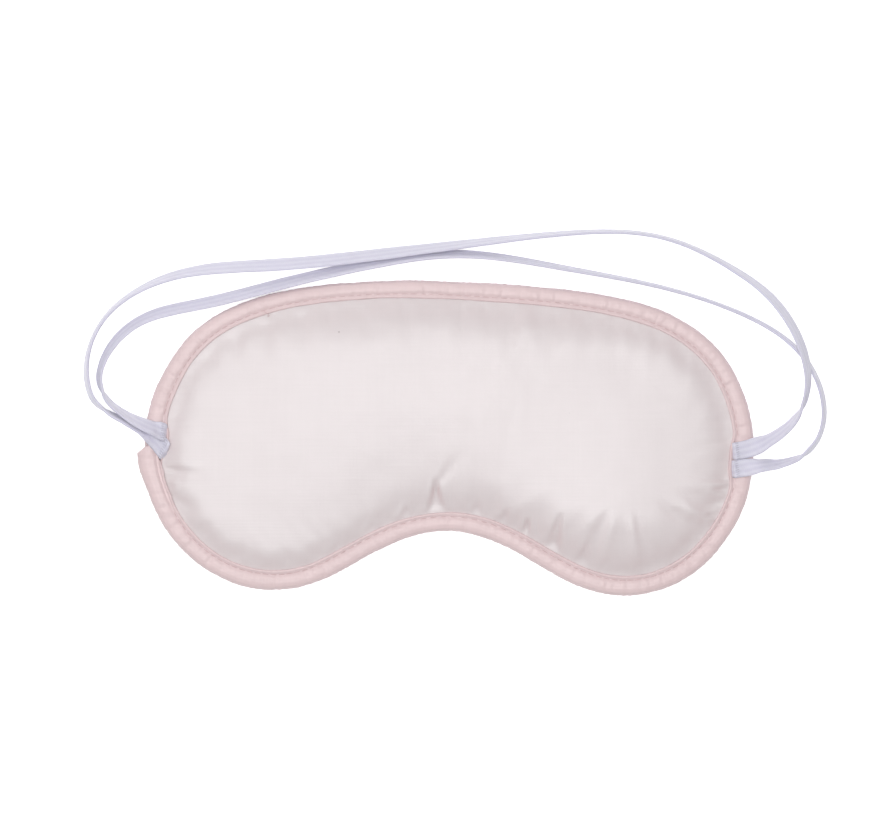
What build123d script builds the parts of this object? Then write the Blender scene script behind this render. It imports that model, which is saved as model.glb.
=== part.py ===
from build123d import *
from collections import namedtuple
import math
import os

import numpy as np

# Padded satin sleep mask with two sewn elastic head bands, lying flat with its
# banded side up.  Millimetres.  X runs across the eyes, Y towards the brow, Z up
# out of the mask.  Left is -X.  Origin: middle of the flat underside, on the
# surface the mask lies on.

# ---------------------------------------------------------------- dimensions
# Edge binding
TAPE_WIDTH = 7.0          # seen from above, folded edge to inner edge
TAPE_THICK = 0.6          # folded satin bias tape, two layers
TAPE_Z0 = 0.30            # underside of the lower lip
TAPE_Z1 = 3.95            # top of the upper lip
TAPE_STEP = 4             # outline points between tape sections

# Folded end of the tape: a corner in the left edge, just below the left band ends
LAP_Y = -5.9              # height of the corner
LAP_OUT = 2.1             # how far it stands out past the edge
LAP_ABOVE = 4.2           # it fades out this far above the corner
LAP_FULL = 1.0            # full size down to this far below the corner
LAP_BELOW = 15.0          # and gone by here
LAP_MAX_X = -80.0         # only the edge left of this is lapped

# Pad layers
PANEL_INSET = 2.1         # panels stop this far inside the tape's folded edge
CROWN_START = 7.3         # the pad starts to rise here, inwards from the edge
CROWN_RISE = 6.6          # rise of the top face over its edge, at the eye lobes
CROWN_NARROWING = 0.7     # power that lowers the crown where the pad is narrow
CROWN_FULLNESS = 0.8      # power that shapes the crown's side
PANEL_THICK = 0.30        # satin panel
LINING_THICK = 0.20       # blackout lining
GAP = 0.05                # air between neighbouring layers
PANEL_EDGE_Z = 3.30       # top of the front panel where the tape clamps it
BACK_EDGE_Z = 0.95        # underside of the back panel where the tape clamps it
BACK_DROP_END = 12.5      # the back panel is down on the surface from here inwards

# Plan grid of the pad: rings in from the outline, then steps towards the spine
AROUND = 80
RING_INSETS = [PANEL_INSET, CROWN_START, 9.6]
CROWN_RING = 1            # the ring at CROWN_START
SPINE_STEPS = [0.15, 0.36, 0.64, 0.97]
# X, Y of the line across the two eye lobes
SPINE = [(-60.0, -2.0), (-45.0, 0.5), (-25.0, 7.0), (0.0, 11.0),
         (25.0, 7.5), (45.0, 1.0), (62.0, -3.0)]

# Bands; pairs are the start and end of a smooth change, as arc length from a sewn end
BAND_WIDTH = 6.0          # braided elastic
BAND_THICK = 0.8
BAND_TOP_Z = 4.0          # underside of a band where it lies on the binding
REST_Z = 0.12             # lower edge of a band where it lies on the table
DESCENT = (8.0, 16.0)     # from the binding down to the table
ROLL_UP = (3.0, 10.0)     # from flat to its free roll, at the right ends
UPPER_LEFT_ROLL_UP = (5.0, 13.0)
LOWER_LEFT_ROLL_UP = (0.5, 5.0)   # sooner, as it lies over the upper band
LEFT_TILT = math.radians(15.0)    # least roll of the lower band's left end
LEFT_TILT_FADE = (10.0, 14.0)
SPLIT_D = 6.0             # a band's free loop starts this far from the hinge line
SPLIT_GAP = 0.8
END_CUT = 0.8             # the sewn ends stop short of the rising pad
LOOP_PITCH = 4.0          # spacing of the sections along each piece
LEFT_END_PITCH = 1.6
RIGHT_END_PITCH = 1.8

# The hinge line runs through the middles of the two pairs of sewn ends
HINGE_LEFT = (-94.1, -1.67)
HINGE_RIGHT = (94.5, -8.03)

# The upper band arches over the lower one; distances are in plan from CROSSING
CROSSING = (119.4, 26.6)
CROSSING_ARCH = (6.5, 22.0)       # full height up to the first, none past the second
CROSSING_LIFT = 2.75              # height of the arch over the band's usual level
BED_REACH = (13.0, 24.0)          # the lower band lies flatter here
BED_ROLL = math.radians(167)
UPPER_TWISTS = (26.0, 336.0)      # arc lengths where the band stands on edge
LOWER_TWISTS = (26.0, 324.0)

# Binding stitches
STITCH_INSET = 5.7        # stitch line, inwards from the folded edge
STITCH_PITCH = 3.2
STITCH_SIZE = (2.5, 0.32, 0.22)   # along the line, across it, high
STITCH_CLEAR = 0.01       # off the face of the tape
# No top stitches within this half width and half height of the sewn ends
STITCH_BREAKS = [(-97.0, -2.0), (97.5, -8.2)]
BREAK_HALF_X = 9.0
BREAK_HALF_Y = 9.5

# Bar tacks
TACK_COUNT = 13
TACK_SIZE = (1.6, 0.45, 0.25)     # across the row, along it, high
TACK_CLEAR = 0.04                 # over the band below
TACK_FROM_END = 2.2               # arc length from a band's end to the row
TACK_HALF = 2.9                   # the row reaches this far either side of a band's middle
TACK_SEARCH = (0.50, 1.1)         # bands this near, along and across the row, hold it up
TACK_BAND_LENGTH = 14.0           # length of band end looked at

SATIN = (0.93, 0.86, 0.86)
LINING = (0.12, 0.12, 0.13)
WADDING = (0.95, 0.95, 0.93)
TAPE = (0.90, 0.76, 0.77)
ELASTIC = (0.84, 0.83, 0.92)
THREAD = (0.95, 0.80, 0.81)
TACK_THREAD = (0.88, 0.87, 0.95)

# Outer edge of the mask body, clockwise from the left temple: X, Y.
OUTLINE = [
    (-97.2, 17.2), (-93.5, 24.7), (-88.6, 31.6), (-82.7, 37.4), (-75.7, 42.0),
    (-68.0, 45.4), (-60.0, 48.0), (-51.8, 49.8), (-43.5, 51.0), (-35.2, 51.8),
    (-26.8, 52.4), (-18.4, 52.7), (-10.0, 52.7), (-1.6, 52.6), (6.7, 52.2),
    (15.1, 51.8), (23.5, 51.2), (31.8, 50.6), (40.2, 49.7), (48.5, 48.6),
    (56.8, 47.1), (64.9, 45.2), (72.8, 42.4), (80.3, 38.6), (87.1, 33.7),
    (92.9, 27.6), (97.3, 20.5), (100.5, 12.8), (102.5, 4.6), (103.2, -3.7),
    (102.6, -12.1), (100.9, -20.3), (97.8, -28.1), (93.5, -35.2), (88.0, -41.6),
    (81.5, -46.8), (74.1, -50.8), (66.0, -53.0), (57.6, -53.4), (49.4, -52.1),
    (41.5, -49.2), (34.1, -45.3), (26.8, -41.1), (19.5, -37.0), (11.8, -33.7),
    (3.6, -32.1), (-4.8, -32.3), (-13.0, -34.1), (-20.7, -37.3), (-28.1, -41.2),
    (-35.5, -45.3), (-43.1, -48.9), (-51.1, -51.1), (-59.5, -51.5), (-67.8, -50.3),
    (-75.7, -47.5), (-82.9, -43.2), (-89.1, -37.6), (-94.3, -31.1), (-98.2, -23.7),
    (-100.7, -15.7), (-101.8, -7.4), (-101.4, 1.0), (-99.9, 9.3),
]
OUTLINE_TRIM = 0.35       # cloth fuzz outside the real edge
OUTLINE_COUNT = 480       # points on the smoothed edge

# Free shape of each band, from its left sewn end over the brow to its right one:
# X, Y and the width it shows from above as it rolls on its edge.
UPPER = [
    (-94.1, -4.91, 6.06), (-99.83, 0.01, 4.27), (-107.12, 3.23, 2.33), (-113.89, 7.19, 1.24),
    (-118.63, 12.78, 1.45), (-120.66, 19.85, 1.43), (-120.22, 27.68, 0.93), (-117.59, 35.18, 0.77),
    (-113.14, 41.57, 0.94), (-107.3, 46.63, 1.38), (-100.6, 50.55, 2.0), (-93.44, 53.43, 2.65),
    (-86.04, 55.29, 3.21), (-78.47, 56.39, 3.65), (-70.79, 57.0, 3.96), (-63.04, 57.41, 4.17),
    (-55.26, 57.86, 4.28), (-47.47, 58.47, 4.3), (-39.71, 59.22, 4.23), (-31.97, 60.08, 4.1),
    (-24.27, 60.99, 3.91), (-16.6, 61.91, 3.67), (-8.96, 62.84, 3.38), (-1.32, 63.76, 3.07),
    (6.34, 64.69, 2.73), (14.01, 65.6, 2.39), (21.72, 66.49, 2.05), (29.46, 67.31, 1.73),
    (37.22, 68.02, 1.45), (44.99, 68.57, 1.2), (52.74, 68.84, 1.02), (60.44, 68.66, 0.91),
    (68.06, 67.77, 0.87), (75.54, 65.98, 0.94), (82.84, 63.27, 1.11), (89.9, 59.81, 1.38),
    (96.62, 55.91, 1.73), (102.91, 51.7, 2.12), (108.62, 46.69, 2.49), (113.56, 40.51, 2.73),
    (117.46, 33.34, 2.73), (120.0, 25.67, 2.44), (120.81, 18.03, 1.83), (119.45, 10.9, 1.27),
    (115.52, 4.67, 2.77), (109.33, -0.28, 4.21), (101.94, -3.64, 5.2), (94.74, -5.16, 6.0),
]
LOWER = [
    (-93.97, 1.24, 6.04), (-101.05, 4.01, 4.46), (-107.5, 7.35, 2.77), (-113.49, 12.28, 1.69),
    (-116.4, 18.96, 1.63), (-114.84, 26.11, 2.22), (-110.65, 32.6, 2.77), (-104.94, 37.6, 3.11),
    (-98.28, 40.87, 3.5), (-91.11, 42.81, 3.79), (-83.73, 44.29, 3.89), (-76.32, 45.89, 3.89),
    (-68.94, 47.72, 3.86), (-61.59, 49.65, 3.8), (-54.25, 51.56, 3.74), (-46.91, 53.36, 3.65),
    (-39.56, 55.02, 3.55), (-32.19, 56.56, 3.44), (-24.8, 58.0, 3.31), (-17.39, 59.34, 3.16),
    (-9.94, 60.44, 2.99), (-2.48, 61.13, 2.81), (5.01, 61.27, 2.61), (12.51, 60.84, 2.39),
    (20.03, 59.97, 2.15), (27.54, 58.78, 1.92), (35.04, 57.44, 1.68), (42.53, 56.07, 1.45),
    (49.99, 54.73, 1.24), (57.41, 53.35, 1.05), (64.78, 51.86, 0.89), (72.1, 50.16, 0.77),
    (79.33, 48.2, 0.7), (86.48, 45.93, 0.67), (93.53, 43.33, 0.71), (100.45, 40.35, 0.79),
    (107.13, 36.89, 0.91), (113.34, 32.67, 1.04), (118.76, 27.38, 1.15), (123.0, 20.91, 1.22),
    (125.6, 13.53, 1.22), (126.06, 5.9, 1.14), (123.88, -1.01, 1.13), (118.9, -6.24, 1.72),
    (111.49, -9.14, 2.9), (106.68, -9.74, 4.26), (100.73, -10.67, 5.39), (94.31, -11.63, 5.96),
]


# ---------------------------------------------------------------- curves
def smoothstep(start, end, x):
    t = np.clip((np.asarray(x, float) - start) / (end - start), 0.0, 1.0)
    return t * t * (3 - 2 * t)


def arc_lengths(x, y):
    return np.concatenate([[0.0], np.cumsum(np.hypot(np.diff(x), np.diff(y)))])


def periodic_resample(points, count):
    """Evenly spaced points on a Fourier-smoothed closed curve; takes an even number of points."""
    table = np.array(points, float)
    n = len(table)
    spectrum = np.fft.fft(table[:, 0] + 1j * table[:, 1])
    frequency = np.fft.fftfreq(n, 1.0 / n)
    spectrum = spectrum * np.exp(-(np.abs(frequency) / (n * 0.30)) ** 6)
    fine_count = 4096
    padded = np.zeros(fine_count, complex)
    padded[:n // 2] = spectrum[:n // 2]
    padded[-(n // 2):] = spectrum[-(n // 2):]
    fine = np.fft.ifft(padded) * (fine_count / n)
    fine = np.append(fine, fine[0])
    arc = arc_lengths(fine.real, fine.imag)
    even = np.linspace(0, arc[-1], count, endpoint=False)
    return np.c_[np.interp(even, arc, fine.real), np.interp(even, arc, fine.imag)]


def inward_normals(points):
    """Unit normals of a clockwise closed curve, towards its inside."""
    tangent = np.roll(points, -1, axis=0) - np.roll(points, 1, axis=0)
    tangent /= np.linalg.norm(tangent, axis=1)[:, None]
    return np.c_[tangent[:, 1], -tangent[:, 0]]


def inward(points, distance):
    return points + inward_normals(points) * distance


def relax(values, passes):
    """Smooth values that run round a ring."""
    for _ in range(passes):
        values = 0.5 * values + 0.25 * (np.roll(values, 1, axis=0) + np.roll(values, -1, axis=0))
    return values


EDGE = inward(periodic_resample(OUTLINE, OUTLINE_COUNT), OUTLINE_TRIM)


# ---------------------------------------------------------------- faceted solids
def triangle(a, b, c, flip=False):
    return Face(Wire.make_polygon([a, c, b] if flip else [a, b, c], close=True))


def quad(a, b, c, d, flip=False):
    return [triangle(a, b, c, flip), triangle(a, c, d, flip)]


def join_rings(first, second, flip=False):
    """Faces between two closed rings with the same number of points."""
    faces = []
    for i in range(len(first)):
        j = (i + 1) % len(first)
        faces += quad(first[i], first[j], second[j], second[i], flip)
    return faces


def export_part(name, shape, colour):
    shape.label = name
    shape.color = Color(*colour)
    export_step(shape, os.path.join("parts", name + ".step"))


# ---------------------------------------------------------------- pad layers
def spine_point(x, y):
    """Nearest point of the spine to a plan point."""
    nearest, hit = 1e9, None
    for (x0, y0), (x1, y1) in zip(SPINE, SPINE[1:]):
        dx, dy = x1 - x0, y1 - y0
        t = max(0.0, min(1.0, ((x - x0) * dx + (y - y0) * dy) / (dx * dx + dy * dy)))
        foot = (x0 + t * dx, y0 + t * dy)
        distance = math.hypot(foot[0] - x, foot[1] - y)
        if distance < nearest:
            nearest, hit = distance, foot
    return hit


def plan_rings():
    rings = [inward(EDGE, inset)[::OUTLINE_COUNT // AROUND] for inset in RING_INSETS]
    inner = rings[-1]
    core = relax(np.array([spine_point(x, y) for x, y in inner]), 6)
    return rings + [inner * (1 - t) + core * t for t in SPINE_STEPS]


PLAN = plan_rings()
CORE_LEFT = int(np.argmin(PLAN[-1][:, 0]))     # leftmost point of the innermost ring


def from_crown_start(level):
    return np.linalg.norm(PLAN[level] - PLAN[CROWN_RING], axis=1)


HALF_WIDTH = relax(from_crown_start(-1), 8)    # local half width of the pad


def top_height(level):
    if level <= CROWN_RING:
        return np.full(AROUND, PANEL_EDGE_Z)
    t = np.clip(from_crown_start(level) / HALF_WIDTH, 0.0, 1.0)
    rise = CROWN_RISE * np.clip(HALF_WIDTH / HALF_WIDTH.max(), 0.0, 1.0) ** CROWN_NARROWING
    return PANEL_EDGE_Z + rise * (1 - (1 - t) ** 2) ** CROWN_FULLNESS


def back_height(level):
    if level <= CROWN_RING:
        return np.full(AROUND, BACK_EDGE_Z)
    drop = smoothstep(0.0, BACK_DROP_END - CROWN_START, from_crown_start(level))
    return BACK_EDGE_Z * (1 - drop)


def close_core(core, flip):
    """Faces over the narrow slot along the spine, from left to right."""
    faces = []
    last = AROUND // 2 - 1
    for m in range(last + 1):
        a = core[(CORE_LEFT + m) % AROUND]
        b = core[(CORE_LEFT + m + 1) % AROUND]
        c = core[(CORE_LEFT - m - 1) % AROUND]
        d = core[(CORE_LEFT - m) % AROUND]
        if m == 0:
            faces.append(triangle(a, b, c, flip))
        elif m == last:
            faces.append(triangle(a, b, d, flip))
        else:
            faces += quad(a, b, c, d, flip)
    return faces


def sheet(heights, offset, flip):
    """Faces of one height sheet on the plan grid, and its outer ring."""
    rings = [[Vector(float(x), float(y), float(z) + offset) for (x, y), z in zip(plan, level)]
             for plan, level in zip(PLAN, heights)]
    faces = []
    for outer, inner in zip(rings, rings[1:]):
        faces += join_rings(outer, inner, flip)
    return faces + close_core(rings[-1], not flip), rings[0]


def layer(low_heights, low_offset, high_heights, high_offset):
    """Closed solid between two height sheets."""
    top_faces, top_ring = sheet(high_heights, high_offset, True)
    low_faces, low_ring = sheet(low_heights, low_offset, False)
    return Solid(Shell(top_faces + low_faces + join_rings(top_ring, low_ring)))


def export_pad():
    top = [top_height(level) for level in range(len(PLAN))]
    back = [back_height(level) for level in range(len(PLAN))]
    lining_low = PANEL_THICK + GAP
    lining_high = lining_low + LINING_THICK
    export_part("front_panel", layer(top, -PANEL_THICK, top, 0.0), SATIN)
    export_part("back_panel", layer(back, 0.0, back, PANEL_THICK), SATIN)
    export_part("blackout_lining", layer(back, lining_low, back, lining_high), LINING)
    export_part("wadding", layer(back, lining_high + GAP, top, -PANEL_THICK - GAP), WADDING)


# ---------------------------------------------------------------- edge binding
def tape_section():
    """Round the U: distance in from the folded edge, height, share of the lap it takes."""
    middle_z = (TAPE_Z0 + TAPE_Z1) / 2
    outer_radius = (TAPE_Z1 - TAPE_Z0) / 2
    inner_radius = outer_radius - TAPE_THICK

    def skin(radius, angles):
        points = [(TAPE_WIDTH, middle_z - radius)]
        for angle in map(math.radians, angles):
            points.append((outer_radius - radius * math.cos(angle),
                           middle_z + radius * math.sin(angle)))
        return points + [(TAPE_WIDTH, middle_z + radius)]

    outer = skin(outer_radius, (-90, -55, -20, 20, 55, 90))
    inner = skin(inner_radius, (-90, -30, 30, 90))
    # only the outer skin is pushed out by the lap
    return ([(inset, z, 1 - inset / TAPE_WIDTH) for inset, z in outer]
            + [(inset, z, 0.0) for inset, z in reversed(inner)])


def lap_bulge(x, y):
    if x >= LAP_MAX_X:
        return 0.0
    below = LAP_Y - y
    return LAP_OUT * float(smoothstep(-LAP_ABOVE, 0.0, below)
                           * (1 - smoothstep(LAP_FULL, LAP_BELOW, below)))


def edge_binding():
    sections = []
    section = tape_section()
    for point, normal in list(zip(EDGE, inward_normals(EDGE)))[::TAPE_STEP]:
        bulge = lap_bulge(*point)
        ring = []
        for inset, z, share in section:
            x, y = point + normal * (inset - bulge * share)
            ring.append(Vector(float(x), float(y), float(z)))
        sections.append(ring)
    faces = []
    for first, second in zip(sections, sections[1:] + sections[:1]):
        faces += join_rings(first, second)
    return Solid(Shell(faces))


# ---------------------------------------------------------------- bands
# Centre line of a band: arrays of arc length, place, roll and plan tangent
BandPath = namedtuple("BandPath", "arc x y z roll tangent_x tangent_y")


def sample(path, arc):
    """x, y, z, roll, tangent_x, tangent_y at one arc length."""
    return [float(np.interp(arc, path.arc, values)) for values in path[1:]]


def catmull_rom(values, count=1600):
    """Cubic through the stations."""
    last = len(values) - 1
    at = np.linspace(0, last, count)
    i = np.clip(at.astype(int), 0, last - 1)
    f = at - i
    p0 = values[np.clip(i - 1, 0, last)]
    p1 = values[i]
    p2 = values[i + 1]
    p3 = values[np.clip(i + 2, 0, last)]
    return 0.5 * (2 * p1 + (p2 - p0) * f + (2 * p0 - 5 * p1 + 4 * p2 - p3) * f ** 2
                  + (-p0 + 3 * p1 - 3 * p2 + p3) * f ** 3)


def free_roll(shown_width):
    """Roll angle at which a band shows this width from above."""
    angles = np.radians(np.linspace(0, 90, 400))
    widths = BAND_WIDTH * np.cos(angles) + BAND_THICK * np.sin(angles)
    return np.interp(-shown_width, -widths, angles)


def even_out(values):
    """Gaussian smoothing along the band."""
    kernel = np.exp(-0.5 * (np.linspace(-3, 3, 61)) ** 2)
    kernel /= kernel.sum()
    padded = np.concatenate([np.full(30, values[0]), values, np.full(30, values[-1])])
    return np.convolve(padded, kernel, mode="valid")


def band_path(table, twists, is_upper):
    x, y, shown_width = (catmull_rom(column) for column in np.array(table, float).T)
    arc = arc_lengths(x, y)
    from_end = np.minimum(arc, arc[-1] - arc)
    from_crossing = np.hypot(x - CROSSING[0], y - CROSSING[1])

    roll = free_roll(shown_width)
    roll = np.where((arc > twists[0]) & (arc < twists[1]), math.pi - roll, roll)
    if not is_upper:
        bed = 1 - smoothstep(*BED_REACH, from_crossing)
        roll = roll * (1 - bed) + BED_ROLL * bed
    roll = even_out(roll)
    left_roll_up = UPPER_LEFT_ROLL_UP if is_upper else LOWER_LEFT_ROLL_UP
    roll = roll * np.where(arc < arc[-1] / 2,
                           smoothstep(*left_roll_up, arc), smoothstep(*ROLL_UP, from_end))
    if not is_upper:
        roll = np.maximum(roll, LEFT_TILT * (1 - smoothstep(*LEFT_TILT_FADE, arc)))

    base = REST_Z + (BAND_TOP_Z - REST_Z) * (1 - smoothstep(*DESCENT, from_end))
    if is_upper:
        base = base + CROSSING_LIFT * (1 - smoothstep(*CROSSING_ARCH, from_crossing))
    z = base + BAND_WIDTH / 2 * np.sin(roll) + BAND_THICK / 2 * np.abs(np.cos(roll))
    step_x, step_y = np.gradient(x), np.gradient(y)
    step = np.hypot(step_x, step_y)
    return BandPath(arc, x, y, z, roll, step_x / step, step_y / step)


def hinge_distance(x, y):
    """Signed plan distance from the hinge line, positive towards the brow."""
    dx, dy = HINGE_RIGHT[0] - HINGE_LEFT[0], HINGE_RIGHT[1] - HINGE_LEFT[1]
    return ((y - HINGE_LEFT[1]) * dx - (x - HINGE_LEFT[0]) * dy) / math.hypot(dx, dy)


def ribbon(path, start, end, pitch):
    """Solid length of band between two arc lengths."""
    count = max(3, int(round((end - start) / pitch)) + 1)
    rings = []
    for arc in np.linspace(start, end, count):
        x, y, z, roll, tangent_x, tangent_y = sample(path, arc)
        centre = Vector(x, y, z)
        tangent = Vector(tangent_x, tangent_y, 0).normalized()
        level = Vector(-tangent.Y, tangent.X, 0)
        across = level * math.cos(roll) + Vector(0, 0, 1) * math.sin(roll)
        wide = across * (BAND_WIDTH / 2)
        thick = tangent.cross(across) * (BAND_THICK / 2)
        rings.append([centre + wide + thick, centre - wide + thick,
                      centre - wide - thick, centre + wide - thick])
    faces = []
    for first, second in zip(rings, rings[1:]):
        faces += join_rings(first, second)
    return Solid(Shell(faces + quad(*rings[0]) + quad(*rings[-1])))


def export_band(name, path):
    """Write the free loop and the two sewn ends."""
    distance = hinge_distance(path.x, path.y)
    half = len(path.arc) // 2
    left = float(path.arc[:half][distance[:half] < SPLIT_D].max())
    right = float(path.arc[half:][distance[half:] < SPLIT_D].min())
    cut = SPLIT_GAP / 2
    left_end = ribbon(path, END_CUT, left - cut, LEFT_END_PITCH)
    right_end = ribbon(path, right + cut, float(path.arc[-1]) - END_CUT, RIGHT_END_PITCH)
    export_part(name, ribbon(path, left + cut, right - cut, LOOP_PITCH), ELASTIC)
    export_part(name + "_ends", Compound([left_end, right_end]), ELASTIC)


# ---------------------------------------------------------------- stitching
def stitch(x, y, z, angle, size):
    """Box centred in plan on x, y with its underside at z and its length along angle."""
    length, width, height = size
    corner = Location((x, y, z), (0, 0, angle)) * Location((-length / 2, -width / 2, 0))
    return Solid.make_box(length, width, height, Plane(corner))


def near_band_end(x, y):
    return any(abs(x - end_x) < BREAK_HALF_X and abs(y - end_y) < BREAK_HALF_Y
               for end_x, end_y in STITCH_BREAKS)


def stitch_line(z, skip_ends):
    line = inward(EDGE, STITCH_INSET)
    line = np.vstack([line, line[:1]])
    arc = arc_lengths(line[:, 0], line[:, 1])

    def place(at):
        return float(np.interp(at, arc, line[:, 0])), float(np.interp(at, arc, line[:, 1]))

    count = int(round(arc[-1] / STITCH_PITCH))
    stitches = []
    for i in range(count):
        at = (i + 0.5) * arc[-1] / count
        x, y = place(at)
        ahead_x, ahead_y = place((at + 1) % arc[-1])
        if skip_ends and near_band_end(x, y):
            continue
        angle = math.degrees(math.atan2(ahead_y - y, ahead_x - x))
        stitches.append(stitch(x, y, z, angle, STITCH_SIZE))
    return Compound(stitches)


# ---------------------------------------------------------------- bar tacks
# A short row of satin stitches holds each pair of band ends to the binding.
def band_tops(paths):
    """Points over the upper faces of the four sewn ends: X, Y, Z."""
    points = []
    steps = np.arange(0.0, TACK_BAND_LENGTH, 0.2)
    for path in paths:
        for arc in np.concatenate([steps, path.arc[-1] - steps]):
            x, y, z, roll, tangent_x, tangent_y = sample(path, arc)
            for u in np.linspace(-BAND_WIDTH / 2, BAND_WIDTH / 2, 25):
                shift = u * math.cos(roll) - BAND_THICK / 2 * math.sin(roll)
                top = z + u * math.sin(roll) + BAND_THICK / 2 * abs(math.cos(roll))
                points.append((x - tangent_y * shift, y + tangent_x * shift, top))
    return np.array(points)


def tack_ends(paths, at_left):
    """Outermost edges of a pair of sewn ends, lowest Y first."""
    edges = []
    for path in paths:
        arc = TACK_FROM_END if at_left else path.arc[-1] - TACK_FROM_END
        i = int(np.argmin(np.abs(path.arc - arc)))
        centre = Vector(float(path.x[i]), float(path.y[i]), 0)
        across = Vector(-float(path.tangent_y[i]), float(path.tangent_x[i]), 0).normalized()
        edges += [centre + across * TACK_HALF, centre - across * TACK_HALF]
    edges.sort(key=lambda edge: edge.Y)
    return edges[0], edges[-1]


def bar_tack(start, end, tops):
    run = end - start
    row = run.normalized()
    angle = math.degrees(math.atan2(row.Y, row.X))
    stitches = []
    for i in range(TACK_COUNT):
        centre = start + run * ((i + 0.5) / TACK_COUNT)
        # each stitch lies on whatever band is under it
        offset = tops[:, :2] - np.array([centre.X, centre.Y])
        along = np.abs(offset[:, 0] * row.X + offset[:, 1] * row.Y)
        across = np.abs(-offset[:, 0] * row.Y + offset[:, 1] * row.X)
        under = tops[(along < TACK_SEARCH[0]) & (across < TACK_SEARCH[1]), 2]
        z = (float(under.max()) if len(under) else BAND_TOP_Z) + TACK_CLEAR
        stitches.append(stitch(centre.X, centre.Y, z, angle + 90, TACK_SIZE))
    return Compound(stitches)


# ---------------------------------------------------------------- build
os.makedirs("parts", exist_ok=True)

export_pad()
export_part("edge_binding", edge_binding(), TAPE)

upper_path = band_path(UPPER, UPPER_TWISTS, True)
lower_path = band_path(LOWER, LOWER_TWISTS, False)
export_band("upper_band", upper_path)
export_band("lower_band", lower_path)

front_z = TAPE_Z1 + STITCH_CLEAR
back_z = TAPE_Z0 - STITCH_CLEAR - STITCH_SIZE[2]
export_part("binding_stitch_front", stitch_line(front_z, True), THREAD)
export_part("binding_stitch_back", stitch_line(back_z, False), THREAD)

band_paths = (upper_path, lower_path)
tops = band_tops(band_paths)
for name, at_left in (("left_bar_tack", True), ("right_bar_tack", False)):
    export_part(name, bar_tack(*tack_ends(band_paths, at_left), tops), TACK_THREAD)
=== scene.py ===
"""A padded satin eye mask with two elastic bands, lying flat on a white floor.

x runs to the right, y from the nose notch towards the brow, and z up from the floor. The front
panel faces up and the back panel rests on the floor. The bands are sewn in at the left and right
sides and loop round beyond the brow (+y). Shapes are worked out in millimetres and made in metres.
"""
import math

import bpy
import numpy as np
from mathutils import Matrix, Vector


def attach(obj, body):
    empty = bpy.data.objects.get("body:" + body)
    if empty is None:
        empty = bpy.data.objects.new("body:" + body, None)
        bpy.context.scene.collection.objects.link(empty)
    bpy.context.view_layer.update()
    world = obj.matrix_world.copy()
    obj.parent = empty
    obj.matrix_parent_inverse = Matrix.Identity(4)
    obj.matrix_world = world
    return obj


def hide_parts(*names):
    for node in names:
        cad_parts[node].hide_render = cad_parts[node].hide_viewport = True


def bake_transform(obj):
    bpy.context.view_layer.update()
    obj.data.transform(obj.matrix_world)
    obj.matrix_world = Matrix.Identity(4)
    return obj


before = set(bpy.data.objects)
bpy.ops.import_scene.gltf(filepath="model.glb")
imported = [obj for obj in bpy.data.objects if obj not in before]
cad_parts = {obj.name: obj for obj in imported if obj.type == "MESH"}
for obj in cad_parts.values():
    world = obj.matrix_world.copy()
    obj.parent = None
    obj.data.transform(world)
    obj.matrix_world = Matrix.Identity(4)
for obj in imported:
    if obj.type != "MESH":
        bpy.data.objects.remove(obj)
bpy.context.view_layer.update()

MM = 0.001

# ---------------------------------------------------------------- driving sizes, mm
# Outline of the mask: x, y, clockwise seen from above, starting at the upper left
OUTLINE = [
    (-97.2, 17.2), (-93.5, 24.7), (-88.6, 31.6), (-82.7, 37.4), (-75.7, 42.0),
    (-68.0, 45.4), (-60.0, 48.0), (-51.8, 49.8), (-43.5, 51.0), (-35.2, 51.8),
    (-26.8, 52.4), (-18.4, 52.7), (-10.0, 52.7), (-1.6, 52.6), (6.7, 52.2),
    (15.1, 51.8), (23.5, 51.2), (31.8, 50.6), (40.2, 49.7), (48.5, 48.6),
    (56.8, 47.1), (64.9, 45.2), (72.8, 42.4), (80.3, 38.6), (87.1, 33.7),
    (92.9, 27.6), (97.3, 20.5), (100.5, 12.8), (102.5, 4.6), (103.2, -3.7),
    (102.6, -12.1), (100.9, -20.3), (97.8, -28.1), (93.5, -35.2), (88.0, -41.6),
    (81.5, -46.8), (74.1, -50.8), (66.0, -53.0), (57.6, -53.4), (49.4, -52.1),
    (41.5, -49.2), (34.1, -45.3), (26.8, -41.1), (19.5, -37.0), (11.8, -33.7),
    (3.6, -32.1), (-4.8, -32.3), (-13.0, -34.1), (-20.7, -37.3), (-28.1, -41.2),
    (-35.5, -45.3), (-43.1, -48.9), (-51.1, -51.1), (-59.5, -51.5), (-67.8, -50.3),
    (-75.7, -47.5), (-82.9, -43.2), (-89.1, -37.6), (-94.3, -31.1), (-98.2, -23.7),
    (-100.7, -15.7), (-101.8, -7.4), (-101.4, 1.0), (-99.9, 9.3),
]
TRIM = 0.35                     # the tape's fold lies this far inside the outline
TAPE_W = 7.0                    # nominal width of the binding tape on each face
GROOVE = 1.45                   # stitch groove, out from the tape's inner edge
TAPE_LOW, TAPE_HIGH = 0.30, 3.95    # heights under and over the folded tape
TAPE_MID = (TAPE_LOW + TAPE_HIGH) / 2
TAPE_HALF = (TAPE_HIGH - TAPE_LOW) / 2
TAPE_FLAT = TAPE_HALF * 0.90    # from mid height to the flat faces of the tape
FRONT_Z = 3.25                  # front panel where the tape clamps it
BACK_Z = 0.95                   # back panel where the tape clamps it
PUCKER = 0.8                    # share of the simulated puckers that is kept

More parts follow.
